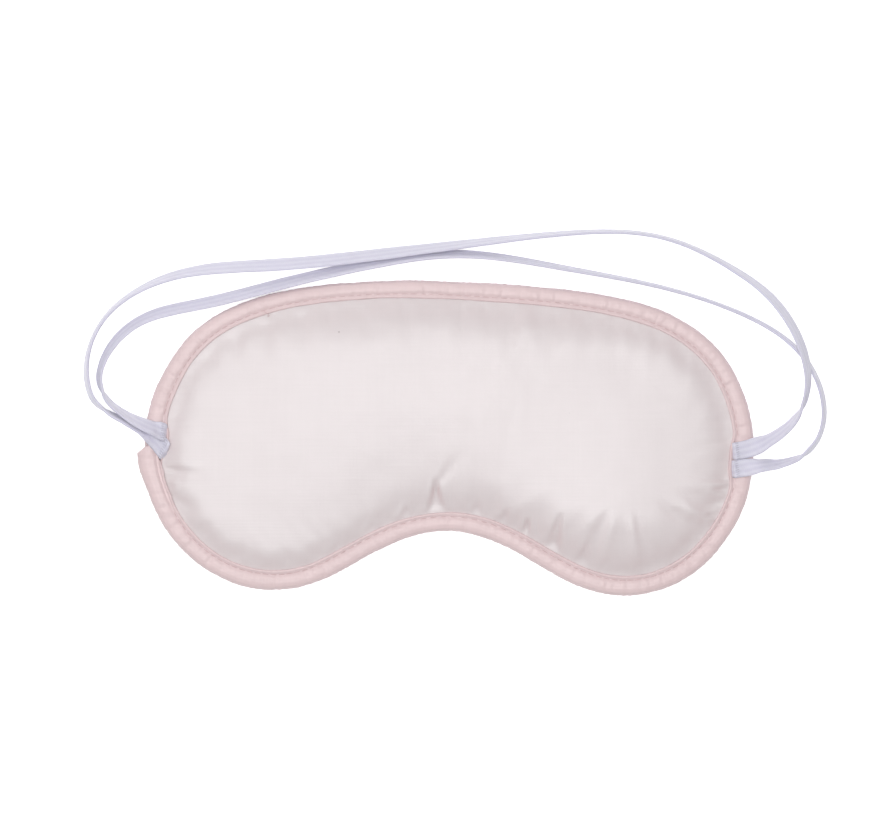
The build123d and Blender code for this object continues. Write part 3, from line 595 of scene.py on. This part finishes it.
def binding():
    """Tape folded over the edge. It starts below the lap on the left side, runs clockwise once
    round and ends over its own start. Arrays are stations (rows) by profile points (columns);
    `depth` is the distance in from the fold."""
    arc = np.linspace(LAP_ARC - LAP_OVERLAP, LAP_ARC + PERIMETER, TAPE_STATIONS)
    point, normal = edge_at(arc)
    tangent = np.c_[-normal[:, 1], normal[:, 0]]
    to_end = (arc[-1] - arc)[:, None]
    from_start = (arc - arc[0])[:, None]

    def noise(seed, *waves):
        return edge_noise(np.mod(arc, PERIMETER), waves, seed)[:, None]

    wobble = noise(2, (34.0, 0.7), (13.0, 0.35))             # of the outline
    puff = noise(7, (3.1, 0.9), (5.4, 1.0), (9.0, 0.6))
    ripple_top = noise(17, (2.6, 1.0), (4.4, 0.8))
    ripple_low = noise(23, (2.9, 1.0), (6.0, 0.9))
    lip_drift = noise(31, (28.0, 0.9), (11.0, 0.4))
    skew = noise(37, (20.0, 1.0))

    # the end of the run lies over the start and stands out past the edge
    lap_out = 2.1 * (1 - smoothstep(0.5, 15.0, to_end)) + 0.25 * (1 - smoothstep(0.0, 24.0, to_end))
    lap_up = 0.55 * (1 - smoothstep(LAP_OVERLAP - 1.0, LAP_OVERLAP + 9.0, to_end))
    under = 1 - smoothstep(LAP_OVERLAP, LAP_OVERLAP + 6.0, from_start)
    # the lip swells where it is drawn over the sewn band ends
    pull = pull_at(*point.T)[:, None] * (0.15 + 0.85 * smoothstep(5.0, 13.0, to_end))
    width = tape_width_at(*point.T)[:, None] + 0.12 * lip_drift + 1.55 * pull - 0.75 * under

    def thickness(depth, amount, ripple):
        """From mid height to the tape's skin."""
        lip = width - depth                                  # distance out from the lip
        height = TAPE_FLAT + 0.20 * bell(depth, 3.0, 1.75)
        height = height - 0.34 * bell(lip, GROOVE + 0.25 * lip_drift, 0.42)
        height = height + 0.13 * bell(lip, 0.42, 0.40) - 0.16 * bell(lip, 0.0, 0.22)
        return height + amount * (0.15 * puff * bell(depth, 3.2, 1.4)
                                  + 0.09 * ripple * bell(lip, GROOVE + 0.7, 0.6)
                                  + 0.02 * ripple_low * bell(lip, 0.5, 0.5))

    def upper_z(depth):
        swell = 0.55 * pull * bell(width - depth, 0.55, 0.6)
        return TAPE_MID + thickness(depth, 1.0, ripple_top) + swell

    def lower_z(depth):
        return np.maximum(TAPE_MID - thickness(depth, 0.7, ripple_low), TAPE_LOW - 0.16)

    def column(value):
        return np.full_like(width, value)

    # outer skin: lower lip, round the fold, upper lip
    face = np.hstack([width - FACE_STEPS, column(FACE_END)])
    cosine, sine = np.cos(FOLD_ANGLES), np.sin(FOLD_ANGLES)
    fold = 1.9 - 1.9 * cosine - 0.16 * wobble - 0.05 * ripple_top * cosine
    fold_z = TAPE_MID + TAPE_HALF * (1 + 0.03 * puff * cosine) * 1.02 * sine
    # inner skin back: upper lip, inside the fold, lower lip
    inside = np.hstack([width - 0.02, width - 1.2, width - 3.0, column(2.3)])
    inside_upper = np.maximum(FRONT_Z + 0.04, upper_z(inside) - TAPE_THICK)
    inside_lower = np.minimum(BACK_Z - 0.03, lower_z(inside) + TAPE_THICK)
    depth = np.hstack([face, fold, face[:, ::-1], inside, column(0.95), column(0.95),
                       inside[:, ::-1]])
    z = np.hstack([lower_z(face), fold_z, upper_z(face)[:, ::-1], inside_upper,
                   column(TAPE_MID + 0.45), column(TAPE_MID - 0.45), inside_lower[:, ::-1]])
    count = depth.shape[1]
    outer_count = 2 * face.shape[1] + len(FOLD_ANGLES)
    outer = np.arange(count) < outer_count

    share = np.clip(1 - depth / TAPE_W, 0, 1)
    depth = depth - lap_out * share * np.where(outer, 1.0, 0.6) + 0.35 * under * share
    upper = z > TAPE_MID
    z = z + lap_up * np.where(upper, 1.0, -0.25) - 0.34 * under * upper * outer
    # a soft fold line where the end was turned under, slanting in to the seam
    line = np.interp(to_end, [0.0, 6.0, 14.0, 26.0], [4.0, 4.9, 5.6, 6.2])
    line_fade = 1 - smoothstep(14.0, 26.0, to_end)
    z = z - 0.50 * bell(depth, line, 0.40) * upper * outer * line_fade
    # the lap's folded end: its corner stands out at the side, its peak is at half width and
    # its inner side runs back down to the seam
    peak = np.interp(depth, [-2.1, 2.0, 4.7, 6.2, 7.2], [0.0, 3.2, 1.6, -4.4, -6.8])
    slide = ((1 - smoothstep(0.0, 20.0, to_end)) * peak
             - 0.35 * skew * np.sin(np.clip(depth, 0, 7) / 7 * math.pi))
    xy = (point[:, None] + normal[:, None] * depth[..., None]
          + tangent[:, None] * slide[..., None])

    verts = np.dstack([xy, z]).reshape(-1, 3)
    faces = tube_faces(TAPE_STATIONS, count, flip=True)
    faces += tape_cap(0, outer_count, count, False)
    faces += tape_cap((TAPE_STATIONS - 1) * count, outer_count, count, True)
    uv = np.c_[np.repeat(arc, count), np.tile(np.linspace(0, 1, count) * 20.0, TAPE_STATIONS)]
    return make_mesh("binding_tape", verts, faces, uv=uv / UV_MM)


tape = binding()

# ---------------------------------------------------------------- stitches
STITCH_PITCH = 3.05


def stitch_mesh(name, places, length, wide, high, seed):
    """places: (x, y, z, angle). One soft, slightly bowed lozenge of twisted thread each."""
    rng = np.random.RandomState(seed)
    verts, faces = [], []
    rings, sides = 9, 8
    for x, y, z, angle in places:
        half = length * rng.uniform(0.93, 1.05) / 2
        angle = angle + rng.uniform(-0.05, 0.05)
        cosine, sine = math.cos(angle), math.sin(angle)
        base = len(verts)
        for i in range(rings):
            u = i / (rings - 1) * 2 - 1
            fat = math.sqrt(max(0.0, 1 - abs(u) ** 3.2)) * (1 + 0.10 * math.sin(9 * u + 1.3))
            radius = wide / 2 * max(fat, 0.06)
            lift = high * 0.5 * (1 - u * u)
            for j in range(sides):
                around = 2 * math.pi * j / sides + 0.9 * u
                along, across = u * half, math.cos(around) * radius
                verts.append((x + along * cosine - across * sine,
                              y + along * sine + across * cosine,
                              z + math.sin(around) * radius * 0.85 + lift))
        faces += tube_faces(rings, sides, base, flip=True) + tube_caps(rings, sides, base)
    return make_mesh(name, verts, faces)


def under_band(x, y):
    return (x < -86 and -7.5 < y < 6.0) or (x > 88 and -15.5 < y < -1.0)


def seam_places(z, skip_bands):
    """Stitch places along the groove, if wanted leaving out those where the bands lie."""
    count = int(round(PERIMETER / STITCH_PITCH))
    point, normal = edge_at((np.arange(count) + 0.5) * PERIMETER / count)
    seam = point + normal * (tape_width_at(*point.T) - GROOVE)[:, None]
    return [(x, y, z, math.atan2(normal_x, -normal_y))
            for (x, y), (normal_x, normal_y) in zip(seam, normal)
            if not (skip_bands and under_band(x, y))]


def thread_end(name, points, radius):
    """A short curl of thread swept through the given points, mm."""
    points = np.array(points, float)
    rings, sides = 24, 7
    at = np.linspace(0, len(points) - 1, rings)
    path = np.stack([np.interp(at, np.arange(len(points)), points[:, c]) for c in range(3)], axis=1)
    for _ in range(3):
        path[1:-1] = 0.5 * path[1:-1] + 0.25 * (path[2:] + path[:-2])
    tangent = unit_rows(np.gradient(path, axis=0))
    side = np.cross(tangent, [0, 0, 1.0])
    side /= np.maximum(np.linalg.norm(side, axis=1), 1e-6)[:, None]
    over = np.cross(tangent, side)
    verts = []
    for i in range(rings):
        ring_radius = radius * (1.0 if 0 < i < rings - 1 else 0.35)
        for j in range(sides):
            around = 2 * math.pi * j / sides
            verts.append(path[i] + side[i] * ring_radius * math.cos(around)
                         + over[i] * ring_radius * math.sin(around))
    return make_mesh(name, verts, tube_faces(rings, sides) + tube_caps(rings, sides))


front_stitches = stitch_mesh("binding_stitches_front",
                             seam_places(TAPE_MID + TAPE_FLAT - 0.29, skip_bands=True),
                             length=2.35, wide=0.30, high=0.06, seed=5)
back_stitches = stitch_mesh("binding_stitches_back",
                            seam_places(TAPE_MID - TAPE_FLAT + 0.22, skip_bands=False),
                            length=2.35, wide=0.30, high=0.0, seed=6)
loose_thread = thread_end(
    "loose_thread_end",
    [(-61.2, 42.2, 3.75), (-60.3, 41.5, 4.25), (-59.4, 40.9, 4.45), (-59.2, 40.5, 4.65),
     (-59.9, 40.3, 4.8)],
    radius=0.10)

# ---------------------------------------------------------------- elastic bands
BAND_REST = 0.12                         # underside where the band lies by the floor
BAND_OVER = 4.12                         # underside where the band lies on the binding
# How the cut left ends follow the seam: run along the band at the middle, and more per half width
UPPER_CUT, LOWER_CUT = (0.2, -2.0), (-0.8, -1.5)


def spline_stations(stations, count):
    """Catmull-Rom curve through the stations, evenly spaced: arc, x, y, shown width."""
    table = np.array(stations, float)
    last = table[-1] - table[-2]
    # the right ends stop at the seam, inside the lip
    table[-1, :2] -= 0.75 * last[:2] / np.hypot(*last[:2])
    final = len(table) - 1
    at = np.linspace(0, final, 4000)
    i = np.clip(at.astype(int), 0, final - 1)
    t = (at - i)[:, None]
    p0, p1 = table[np.clip(i - 1, 0, final)], table[i]
    p2, p3 = table[i + 1], table[np.clip(i + 2, 0, final)]
    curve = 0.5 * (2 * p1 + (p2 - p0) * t + (2 * p0 - 5 * p1 + 4 * p2 - p3) * t ** 2
                   + (-p0 + 3 * p1 - 3 * p2 + p3) * t ** 3)
    run = np.concatenate([[0.0], np.cumsum(np.hypot(*np.diff(curve[:, :2], axis=0).T))])
    arc = np.linspace(0, run[-1], count)
    return (arc, *(np.interp(arc, run, values) for values in curve.T))


def lean_for_width(arc, x, y, shown_width, twists):
    """Roll of the band about its length that shows the given width to the camera.
    Between the two twists the band lies other side up."""
    tx, ty = np.gradient(x), np.gradient(y)
    side = (((x - CAMERA_X) * -ty + (y - CAMERA_Y) * tx) / np.hypot(tx, ty)
            / CAMERA_HEIGHT * BAND_W)
    rolls = np.radians(np.linspace(0, 180, 1200))
    across = BAND_W * np.cos(rolls) + side[:, None] * np.sin(rolls)
    shown = np.abs(across) + BAND_T * np.sin(rolls)
    flipped = (twists[0] < arc) & (arc < twists[1])
    wrong_side = (across < 0) != flipped[:, None]
    cost = np.abs(shown - shown_width[:, None]) + np.where(wrong_side, 50.0, 0.0)
    return rolls[cost.argmin(1)]


def band_path(stations, count, twists, flat_start, flat_end, draw_in,
              start_lean=0.0, end_shift=0.0, lift=None):
    """Centre line and roll of a band: arc, x, y, z, roll.

    flat_start, flat_end: ranges from each end over which the roll sets in.
    draw_in: correction to the perspective draw-in at the right side.
    start_lean: least roll in degrees at the left end. end_shift: y shift of the right end.
    lift: x, y, height and spread of a place where the band rides up."""
    arc, x, y, shown_width = spline_stations(stations, count)
    shown_width = shown_width + 0.60 * (1 - smoothstep(3.5, 5.5, shown_width))
    roll = lean_for_width(arc, x, y, shown_width, twists)
    step = arc[1] - arc[0]

    def even(values, sigma):
        return smooth_line(values, sigma / step, int(3 * sigma / step))

    to_right = arc[-1] - arc
    to_end = np.minimum(arc, to_right)
    roll = even(roll, 1.5) * np.where(arc < arc[-1] / 2, smoothstep(*flat_start, arc),
                                      smoothstep(*flat_end, to_end))
    roll = np.maximum(roll, math.radians(start_lean) * (1 - smoothstep(10.0, 14.0, arc)))
    base = BAND_REST + (BAND_OVER - BAND_REST) * (1 - smoothstep(8.0, 16.0, to_end))
    if lift is not None:
        lift_x, lift_y, height, spread = lift
        base = base + height * gaussian(np.hypot(x - lift_x, y - lift_y), spread)
    z = even(base + BAND_W / 2 * np.sin(roll) + BAND_T / 2 * np.abs(np.cos(roll)), 1.2)
    # seen in perspective, higher parts stand a little further out: draw them in to match
    shrink = 1.0 - z / CAMERA_HEIGHT * (1 - smoothstep(60.0, 110.0, x) * draw_in)
    x, y = CAMERA_X + (x - CAMERA_X) * shrink, CAMERA_Y + (y - CAMERA_Y) * shrink
    y = y + end_shift * (1 - smoothstep(4.0, 26.0, to_right))
    # the sewn ends turn down into the seam
    z = z - 1.25 * (1 - smoothstep(0.0, 1.6, to_end)) ** 2
    return arc, x, y, z, roll


def elastic_half_thickness(u):
    """Three ribs with fine cords and thin rounded selvedges; u is -1 to 1 across."""
    ribs = 0.5 + 0.5 * np.cos(u * 3 * math.pi)
    cords = 0.5 + 0.5 * np.cos(u * 9 * math.pi)
    selvedge = np.sqrt(np.clip(1 - np.abs(u) ** 10, 0, 1))
    return (0.31 + 0.07 * ribs + 0.02 * cords) * selvedge + 0.03


def ribbon(name, path, cut):
    arc, x, y, z, roll = path
    count = len(arc)
    centre = np.c_[x, y, z]
    tangent = unit_rows(np.gradient(centre, axis=0))
    level = unit_rows(np.c_[tangent[:, :2], np.zeros(count)])
    sideways = np.c_[-level[:, 1], level[:, 0], np.zeros(count)]
    across = (sideways * np.cos(roll)[:, None]
              + np.array([0, 0, 1.0]) * np.sin(roll)[:, None])
    face_normal = np.cross(level, across)
    plump = 1 + 0.35 * np.abs(np.sin(roll)) ** 6     # drawn up to a cord where it stands on edge
    half = BAND_W / 2 * (1 + 0.012 * np.sin(arc / 3.1) + 0.010 * np.sin(arc / 7.7 + 1.0))
    to_end = np.minimum(arc, arc[-1] - arc)
    half = half * (1 - 0.16 * (1 - smoothstep(0.0, 0.9, to_end)) ** 2)
    us = np.linspace(-1, 1, 25)
    # the left end follows the seam line across
    run = (1 - smoothstep(0.0, 7.5, arc))[:, None] * (cut[0] + cut[1] * us)

    middle = (centre[:, None] + across[:, None] * (us * half[:, None])[..., None]
              + tangent[:, None] * run[..., None])
    raised = face_normal[:, None] * (plump[:, None] * elastic_half_thickness(us))[..., None]
    rings = np.concatenate([middle + raised, (middle - raised)[:, -2:0:-1]], axis=1)
    sides = rings.shape[1]
    faces = tube_faces(count, sides) + tube_caps(count, sides)
    uv = np.c_[np.repeat(arc, sides), np.tile(np.r_[us, us[-2:0:-1]] * BAND_W / 2, count)]
    return make_mesh(name, rings.reshape(-1, 3), faces, uv=uv / 10.0)


upper_path = band_path(UPPER_STATIONS, 900, twists=(26.0, 336.0), flat_start=(5.0, 13.0),
                       flat_end=(5.5, 14.0), draw_in=0.6, lift=(119.4, 26.6, 6.2, 12.0))
# at the left the lower band leans from its start; at the right it lies edge to edge
lower_path = band_path(LOWER_STATIONS, 880, twists=(26.0, 324.0), flat_start=(0.5, 5.0),
                       flat_end=(3.0, 10.0), draw_in=1.8, start_lean=10.0, end_shift=0.62)
upper_band = ribbon("upper_band_ribbon", upper_path, UPPER_CUT)
lower_band = ribbon("lower_band_ribbon", lower_path, LOWER_CUT)

# ---------------------------------------------------------------- bar tacks
TACK_INSET = 1.9                         # along the band from its end


def tack_places(at_start):
    """Eight stitches across each band, at the left ends or the right ends."""
    places = []
    for (arc, x, y, z, roll), cut in ((upper_path, UPPER_CUT), (lower_path, LOWER_CUT)):
        k = int(np.argmin(np.abs(arc - (TACK_INSET if at_start else arc[-1] - TACK_INSET))))
        tx, ty = x[k + 1] - x[k - 1], y[k + 1] - y[k - 1]
        length = math.hypot(tx, ty)
        tx, ty = tx / length, ty / length
        for offset in np.linspace(-2.5, 2.5, 8):
            across = offset * math.cos(roll[k])
            run = 0.82 * (cut[0] + cut[1] * offset / (BAND_W / 2)) if at_start else 0.0
            places.append((x[k] - ty * across + tx * run, y[k] + tx * across + ty * run,
                           z[k] + offset * math.sin(roll[k]) + BAND_T / 2,
                           math.atan2(ty, tx) + 0.12))
    return places


left_tack, right_tack = (
    stitch_mesh(name, tack_places(at_start), length=1.3, wide=0.26, high=0.08, seed=seed)
    for name, at_start, seed in (("left_bar_tack_stitches", True, 8),
                                 ("right_bar_tack_stitches", False, 9)))


# ---------------------------------------------------------------- material helpers
def set_inputs(tree, node, inputs):
    """Link the sockets and set the plain values."""
    for key, value in inputs.items():
        if isinstance(value, bpy.types.NodeSocket):
            tree.links.new(value, node.inputs[key])
        else:
            node.inputs[key].default_value = value


def add_node(tree, kind, inputs=None, **properties):
    node = tree.nodes.new(kind)
    for key, value in properties.items():
        setattr(node, key, value)
    set_inputs(tree, node, inputs or {})
    return node


def new_material(name):
    material = bpy.data.materials.new(name)
    material.use_nodes = True
    tree = material.node_tree
    tree.nodes.clear()
    output = add_node(tree, "ShaderNodeOutputMaterial")
    bsdf = add_node(tree, "ShaderNodeBsdfPrincipled")
    tree.links.new(bsdf.outputs[0], output.inputs[0])
    return material, tree, bsdf


def maths(tree, operation, *values):
    return add_node(tree, "ShaderNodeMath", dict(enumerate(values)), operation=operation).outputs[0]


def weighted_sum(tree, *terms):
    """terms: (socket, weight)."""
    total = None
    for socket, weight in terms:
        part = maths(tree, "MULTIPLY", socket, weight)
        total = part if total is None else maths(tree, "ADD", total, part)
    return total


def noise_node(tree, scale, stretch=(1, 1, 1), detail=2.0, roughness=0.5):
    """Noise in object space, metres."""
    coords = tree.nodes.get("Texture Coordinate") or add_node(tree, "ShaderNodeTexCoord")
    mapping = add_node(tree, "ShaderNodeMapping",
                       {"Vector": coords.outputs["Object"], "Scale": stretch})
    return add_node(tree, "ShaderNodeTexNoise",
                    {"Vector": mapping.outputs[0], "Scale": scale, "Detail": detail,
                     "Roughness": roughness}).outputs[0]


def mix_color(tree, factor, first, second):
    """Colours are sockets or linear RGB."""
    first, second = ((*c, 1.0) if isinstance(c, tuple) else c for c in (first, second))
    return add_node(tree, "ShaderNodeMix", {0: factor, 6: first, 7: second},
                    data_type="RGBA", blend_type="MIX").outputs[2]


def add_bump(tree, bsdf, height, strength, distance_mm):
    bump = add_node(tree, "ShaderNodeBump", {"Strength": strength, "Distance": distance_mm * MM,
                                             "Height": height})
    tree.links.new(bump.outputs[0], bsdf.inputs["Normal"])


def srgb(*channels):
    """Linear RGB of 0-255 sRGB values."""
    def linear(c):
        return c / 12.92 if c <= 0.04045 else ((c + 0.055) / 1.055) ** 2.4
    return tuple(linear(c / 255.0) for c in channels)


# ---------------------------------------------------------------- materials
FLECK_COLOR = (0.30, 0.24, 0.24)
WEAVE_SCALE = 33.15728                   # of the UVs across the weave
WEAVE_STRETCH = 0.18                     # the same along it, as a share


def fleck(tree, base, x, y, radius, strength):
    """A small dark spot at a place in plan, mm."""
    coords = tree.nodes["Texture Coordinate"].outputs["Object"]
    flat = add_node(tree, "ShaderNodeVectorMath", {0: coords, 1: (1, 1, 0)}, operation="MULTIPLY")
    away = add_node(tree, "ShaderNodeVectorMath",
                    {0: flat.outputs[0], 1: (x * MM, y * MM, 0)}, operation="DISTANCE")
    spot = add_node(tree, "ShaderNodeMapRange",
                    {"From Min": radius * 0.3 * MM, "From Max": radius * MM,
                     "To Min": strength, "To Max": 0.0, "Value": away.outputs["Value"]},
                    interpolation_type="SMOOTHSTEP")
    return mix_color(tree, spot.outputs[0], base, FLECK_COLOR)


def satin(name, face, painted_slope_shade, rough, streak=0.11, relief_mm=0.048, sheen=0.25, gloss=0.9,
          flecks=()):
    """Satin: long floats that catch the light, fine weave, slubs, and painted shade: a darker,
    pinker colour mixed in where the surface turns away from the camera. flecks: x, y, radius in mm,
    strength."""
    material, tree, bsdf = new_material(name)
    # painted shade: faces turned away from the camera take the darker, pinker slope colour
    facing = add_node(tree, "ShaderNodeLayerWeight", {"Blend": 0.42}).outputs["Facing"]
    turn = maths(tree, "MINIMUM", maths(tree, "MULTIPLY", facing, 2.2), 1.0)
    base = mix_color(tree, turn, face, painted_slope_shade)
    # slubs: thin streaks along x and along y
    slub_x = noise_node(tree, scale=1.0, stretch=(60, 1500, 60))
    slub_y = noise_node(tree, scale=1.0, stretch=(1100, 45, 60))
    broad = noise_node(tree, scale=55.0)
    mottle = noise_node(tree, scale=420.0)
    amount = weighted_sum(tree, (slub_x, 0.36), (slub_y, 0.26), (broad, 0.22), (mottle, 0.16))
    amount = maths(tree, "SUBTRACT", amount, 0.5)
    amount = maths(tree, "ADD", maths(tree, "MULTIPLY", amount, streak), 0.5)
    brightness = maths(tree, "ADD", amount, 0.5)
    shade = add_node(tree, "ShaderNodeHueSaturation", {"Value": brightness, "Color": base}).outputs[0]
    for entry in flecks:
        shade = fleck(tree, shade, *entry)
    # weave relief
    uv = add_node(tree, "ShaderNodeUVMap", uv_map="flat")
    mapping = add_node(tree, "ShaderNodeMapping",
                       {"Vector": uv.outputs[0],
                        "Scale": (WEAVE_SCALE * WEAVE_STRETCH, WEAVE_SCALE, 1)})
    weave = add_node(tree, "ShaderNodeTexWave",
                     {"Vector": mapping.outputs[0], "Scale": 1.0, "Distortion": 1.2,
                      "Detail": 1.0, "Detail Scale": 0.6},
                     wave_type="BANDS", bands_direction="Y", wave_profile="SIN")
    relief = maths(tree, "ADD", maths(tree, "MULTIPLY", weave.outputs["Fac"], 0.5),
                   weighted_sum(tree, (slub_x, 0.9), (slub_y, 0.6)))
    add_bump(tree, bsdf, relief, strength=0.35, distance_mm=relief_mm)
    tangent = add_node(tree, "ShaderNodeTangent", direction_type="UV_MAP", uv_map="flat")
    set_inputs(tree, bsdf, {
        "Base Color": shade,
        "Roughness": maths(tree, "ADD", maths(tree, "MULTIPLY", mottle, 0.10), rough - 0.05),
        "Specular IOR Level": gloss,
        "Anisotropic": 0.55,
        "Tangent": tangent.outputs[0],
        "Sheen Weight": sheen,
        "Sheen Roughness": 0.45,
        "Sheen Tint": (1.0, 0.90, 0.90, 1.0),
    })
    return material


def fibrous(name, color, dark, fine, coarse, bump, **surface):
    """Two noises mottle between two colours, and the fine one raises a bump.
    fine, coarse: noise settings. bump: strength and distance."""
    material, tree, bsdf = new_material(name)
    fine = noise_node(tree, **fine)
    coarse = noise_node(tree, **coarse)
    mottle = weighted_sum(tree, (fine, 0.6), (coarse, 0.4))
    add_bump(tree, bsdf, fine, **bump)
    set_inputs(tree, bsdf, {"Base Color": mix_color(tree, mottle, dark, color)})
    set_inputs(tree, bsdf, {key.replace("_", " ").title(): v for key, v in surface.items()})
    return material


def thread(name, color):
    return fibrous(name, color, tuple(c * 0.78 for c in color), fine=dict(scale=5200.0),
                   coarse=dict(scale=260.0), bump=dict(strength=0.5, distance_mm=0.05),
                   roughness=0.55, sheen_weight=0.3)


def felt(name, color, dark, scale):
    return fibrous(name, color, dark, fine=dict(scale=scale, detail=6.0, roughness=0.7),
                   coarse=dict(scale=scale * 0.15), bump=dict(strength=0.6, distance_mm=0.2),
                   roughness=0.9)


def elastic(name, color, dark):
    """Braided elastic: slanted cross cords, and painted shade: a deeper colour in the grooves between
    ribs.
    """
    cord_pitch = 0.62
    material, tree, bsdf = new_material(name)
    uv = add_node(tree, "ShaderNodeUVMap", uv_map="flat")
    axes = add_node(tree, "ShaderNodeSeparateXYZ", {0: uv.outputs[0]})
    along_mm = maths(tree, "MULTIPLY", axes.outputs["X"], 10.0)
    across_mm = maths(tree, "MULTIPLY", axes.outputs["Y"], 10.0)

    def halved(wave):
        """-1 to 1 brought to 0 to 1."""
        return maths(tree, "ADD", maths(tree, "MULTIPLY", wave, 0.5), 0.5)

    ribs = halved(maths(tree, "COSINE", maths(tree, "MULTIPLY", across_mm, math.pi)))
    # braid: slanted cords that change hand at each rib
    zigzag = maths(tree, "PINGPONG", across_mm, 1.0)
    phase = weighted_sum(tree, (along_mm, 2 * math.pi / cord_pitch), (zigzag, 3.4))
    cords = halved(maths(tree, "SINE", phase))
    fuzz = noise_node(tree, scale=1800.0)
    broad = noise_node(tree, scale=60.0)
    # painted shade: the rib wave darkens the grooves towards the dark colour; cords, fuzz and broad
    # noise vary the tone
    groove_shade_and_tone = maths(tree, "ADD", weighted_sum(tree, (ribs, 0.46), (cords, 0.16)),
                 weighted_sum(tree, (fuzz, 0.24), (broad, 0.22)))
    relief = weighted_sum(tree, (cords, 0.7), (fuzz, 0.3))
    add_bump(tree, bsdf, relief, strength=0.5, distance_mm=0.07)
    set_inputs(tree, bsdf, {
        "Base Color": mix_color(tree, groove_shade_and_tone, dark, color),
        "Roughness": 0.62,
        "Specular IOR Level": 0.35,
        "Sheen Weight": 0.55,
        "Subsurface Weight": 0.35,
        "Subsurface Radius": (1.0, 1.0, 1.0),
        "Subsurface Scale": 1.6 * MM,
    })
    return material


panel_satin = satin("satin_blush", face=srgb(220, 211, 212), painted_slope_shade=srgb(216, 192, 193),
                    rough=0.40, streak=0.099,
                    flecks=((-35.9, 35.1, 0.45, 0.55), (41.0, 8.0, 0.3, 0.15)))
back_satin = satin("satin_blush_back", face=srgb(219, 209, 210), painted_slope_shade=srgb(213, 187, 189),
                   rough=0.46)
tape_satin = satin("satin_binding_pink", face=srgb(223, 200, 201), painted_slope_shade=srgb(217, 197, 199),
                   rough=0.46, streak=0.264, relief_mm=0.08, sheen=0.3, gloss=0.7)
pink_thread = thread("thread_pink", srgb(219, 190, 191))
tack_thread = thread("thread_lavender", srgb(206, 203, 217))
band_elastic = elastic("elastic_lavender", color=srgb(221, 219, 232), dark=srgb(204, 201, 219))
fibre_fill = felt("fibre_fill", color=srgb(244, 243, 240), dark=srgb(222, 220, 216), scale=900.0)
nonwoven = felt("blackout_nonwoven", color=(0.030, 0.030, 0.034), dark=(0.012, 0.012, 0.014),
                scale=1400.0)

# ---------------------------------------------------------------- materials and CAD bodies
# Pieces that ride on the mask: object, material, slot, CAD pieces it replaces
for ob, material, slot, cad in (
        (front_panel, panel_satin, "satin", ["front_panel"]),
        (back_panel, back_satin, "satin", ["back_panel"]),
        (lining, nonwoven, "lining", ["blackout_lining"]),
        (wadding, fibre_fill, "wadding", ["wadding"]),
        (tape, tape_satin, "binding_satin", ["edge_binding"]),
        (front_stitches, pink_thread, "thread", ["binding_stitch_front"]),
        (back_stitches, pink_thread, "thread", ["binding_stitch_back"]),
        (loose_thread, pink_thread, "thread", []),
        (left_tack, tack_thread, "tack_thread", ["left_bar_tack"]),
        (right_tack, tack_thread, "tack_thread", ["right_bar_tack"])):
    ob.data.materials.append(material)
    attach(ob, "mask")
    if cad:
        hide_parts(*cad)

# The bands would ride on their own loops beyond the hinge line; here they only get their material,
# their CAD pieces are hidden and their transforms are baked. The hinge direction is worked out but not
# used.
hinge = HINGE_RIGHT - HINGE_LEFT
hinge = hinge / np.linalg.norm(hinge)
for ob, body, cad in ((upper_band, "upper_loop", ["upper_band", "upper_band_ends"]),
                      (lower_band, "lower_loop", ["lower_band", "lower_band_ends"])):
    ob.data.materials.append(band_elastic)
    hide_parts(*cad)
    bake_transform(ob)


# ---------------------------------------------------------------- floor, light, camera (metres)
def floor_material():
    """White, glowing more to the camera than to the scene."""
    material, tree, bsdf = new_material("floor_white")
    seen = add_node(tree, "ShaderNodeLightPath").outputs["Is Camera Ray"]
    set_inputs(tree, bsdf, {
        "Base Color": (0.93, 0.93, 0.93, 1),
        "Roughness": 0.9,
        "Specular IOR Level": 0.0,
        "Emission Color": (1.0, 1.0, 1.0, 1.0),
        "Emission Strength": maths(tree, "ADD", maths(tree, "MULTIPLY", seen, 0.44), 0.18),
    })
    return material


def area_light(name, location, size, power):
    """A round softbox aimed at the middle of the mask."""
    light = bpy.data.lights.new(name, "AREA")
    light.shape = "DISK"
    light.size = size
    light.energy = power
    ob = bpy.data.objects.new(name, light)
    bpy.context.scene.collection.objects.link(ob)
    ob.location = location
    ob.rotation_euler = (-Vector(location)).to_track_quat("-Z", "Y").to_euler()


def add_camera():
    """Looks straight down; the view is VIEW_WIDTH wide at CAMERA_HEIGHT below it."""
    data = bpy.data.cameras.new("camera")
    camera = bpy.data.objects.new("camera", data)
    bpy.context.scene.collection.objects.link(camera)
    height = CAMERA_HEIGHT * MM
    camera.location = (CAMERA_X * MM, CAMERA_Y * MM, height + FOCUS_Z)
    camera.rotation_euler = (0, 0, 0)
    data.sensor_width = 36.0
    data.lens = data.sensor_width * height / VIEW_WIDTH
    data.clip_start = 0.05
    data.clip_end = 20
    bpy.context.scene.camera = camera


VIEW_WIDTH = 0.297616
FOCUS_Z = 0.004                          # level from which the camera's height is taken
FLOOR_Z = -0.00015

bpy.ops.mesh.primitive_plane_add(size=6.0, location=(0, 0, FLOOR_Z))
floor = bpy.context.object
floor.name = "floor"
floor.data.materials.append(floor_material())

scene = bpy.context.scene
world = scene.world or bpy.data.worlds.new("World")
scene.world = world
world.use_nodes = True
set_inputs(world.node_tree, world.node_tree.nodes.get("Background"),
           {"Color": (1.0, 1.0, 1.0, 1.0), "Strength": 0.405})

area_light("top_softbox", location=(-0.08, 0.06, 1.25), size=0.95, power=9.4)
area_light("front_fill", location=(-0.30, -0.75, 1.05), size=0.7, power=0.4)
area_light("rim_strip", location=(-0.55, 1.05, 0.45), size=0.5, power=2.4)
add_camera()
scene.view_settings.view_transform = "Standard"
scene.view_settings.look = "None"
scene.view_settings.exposure = 0.0
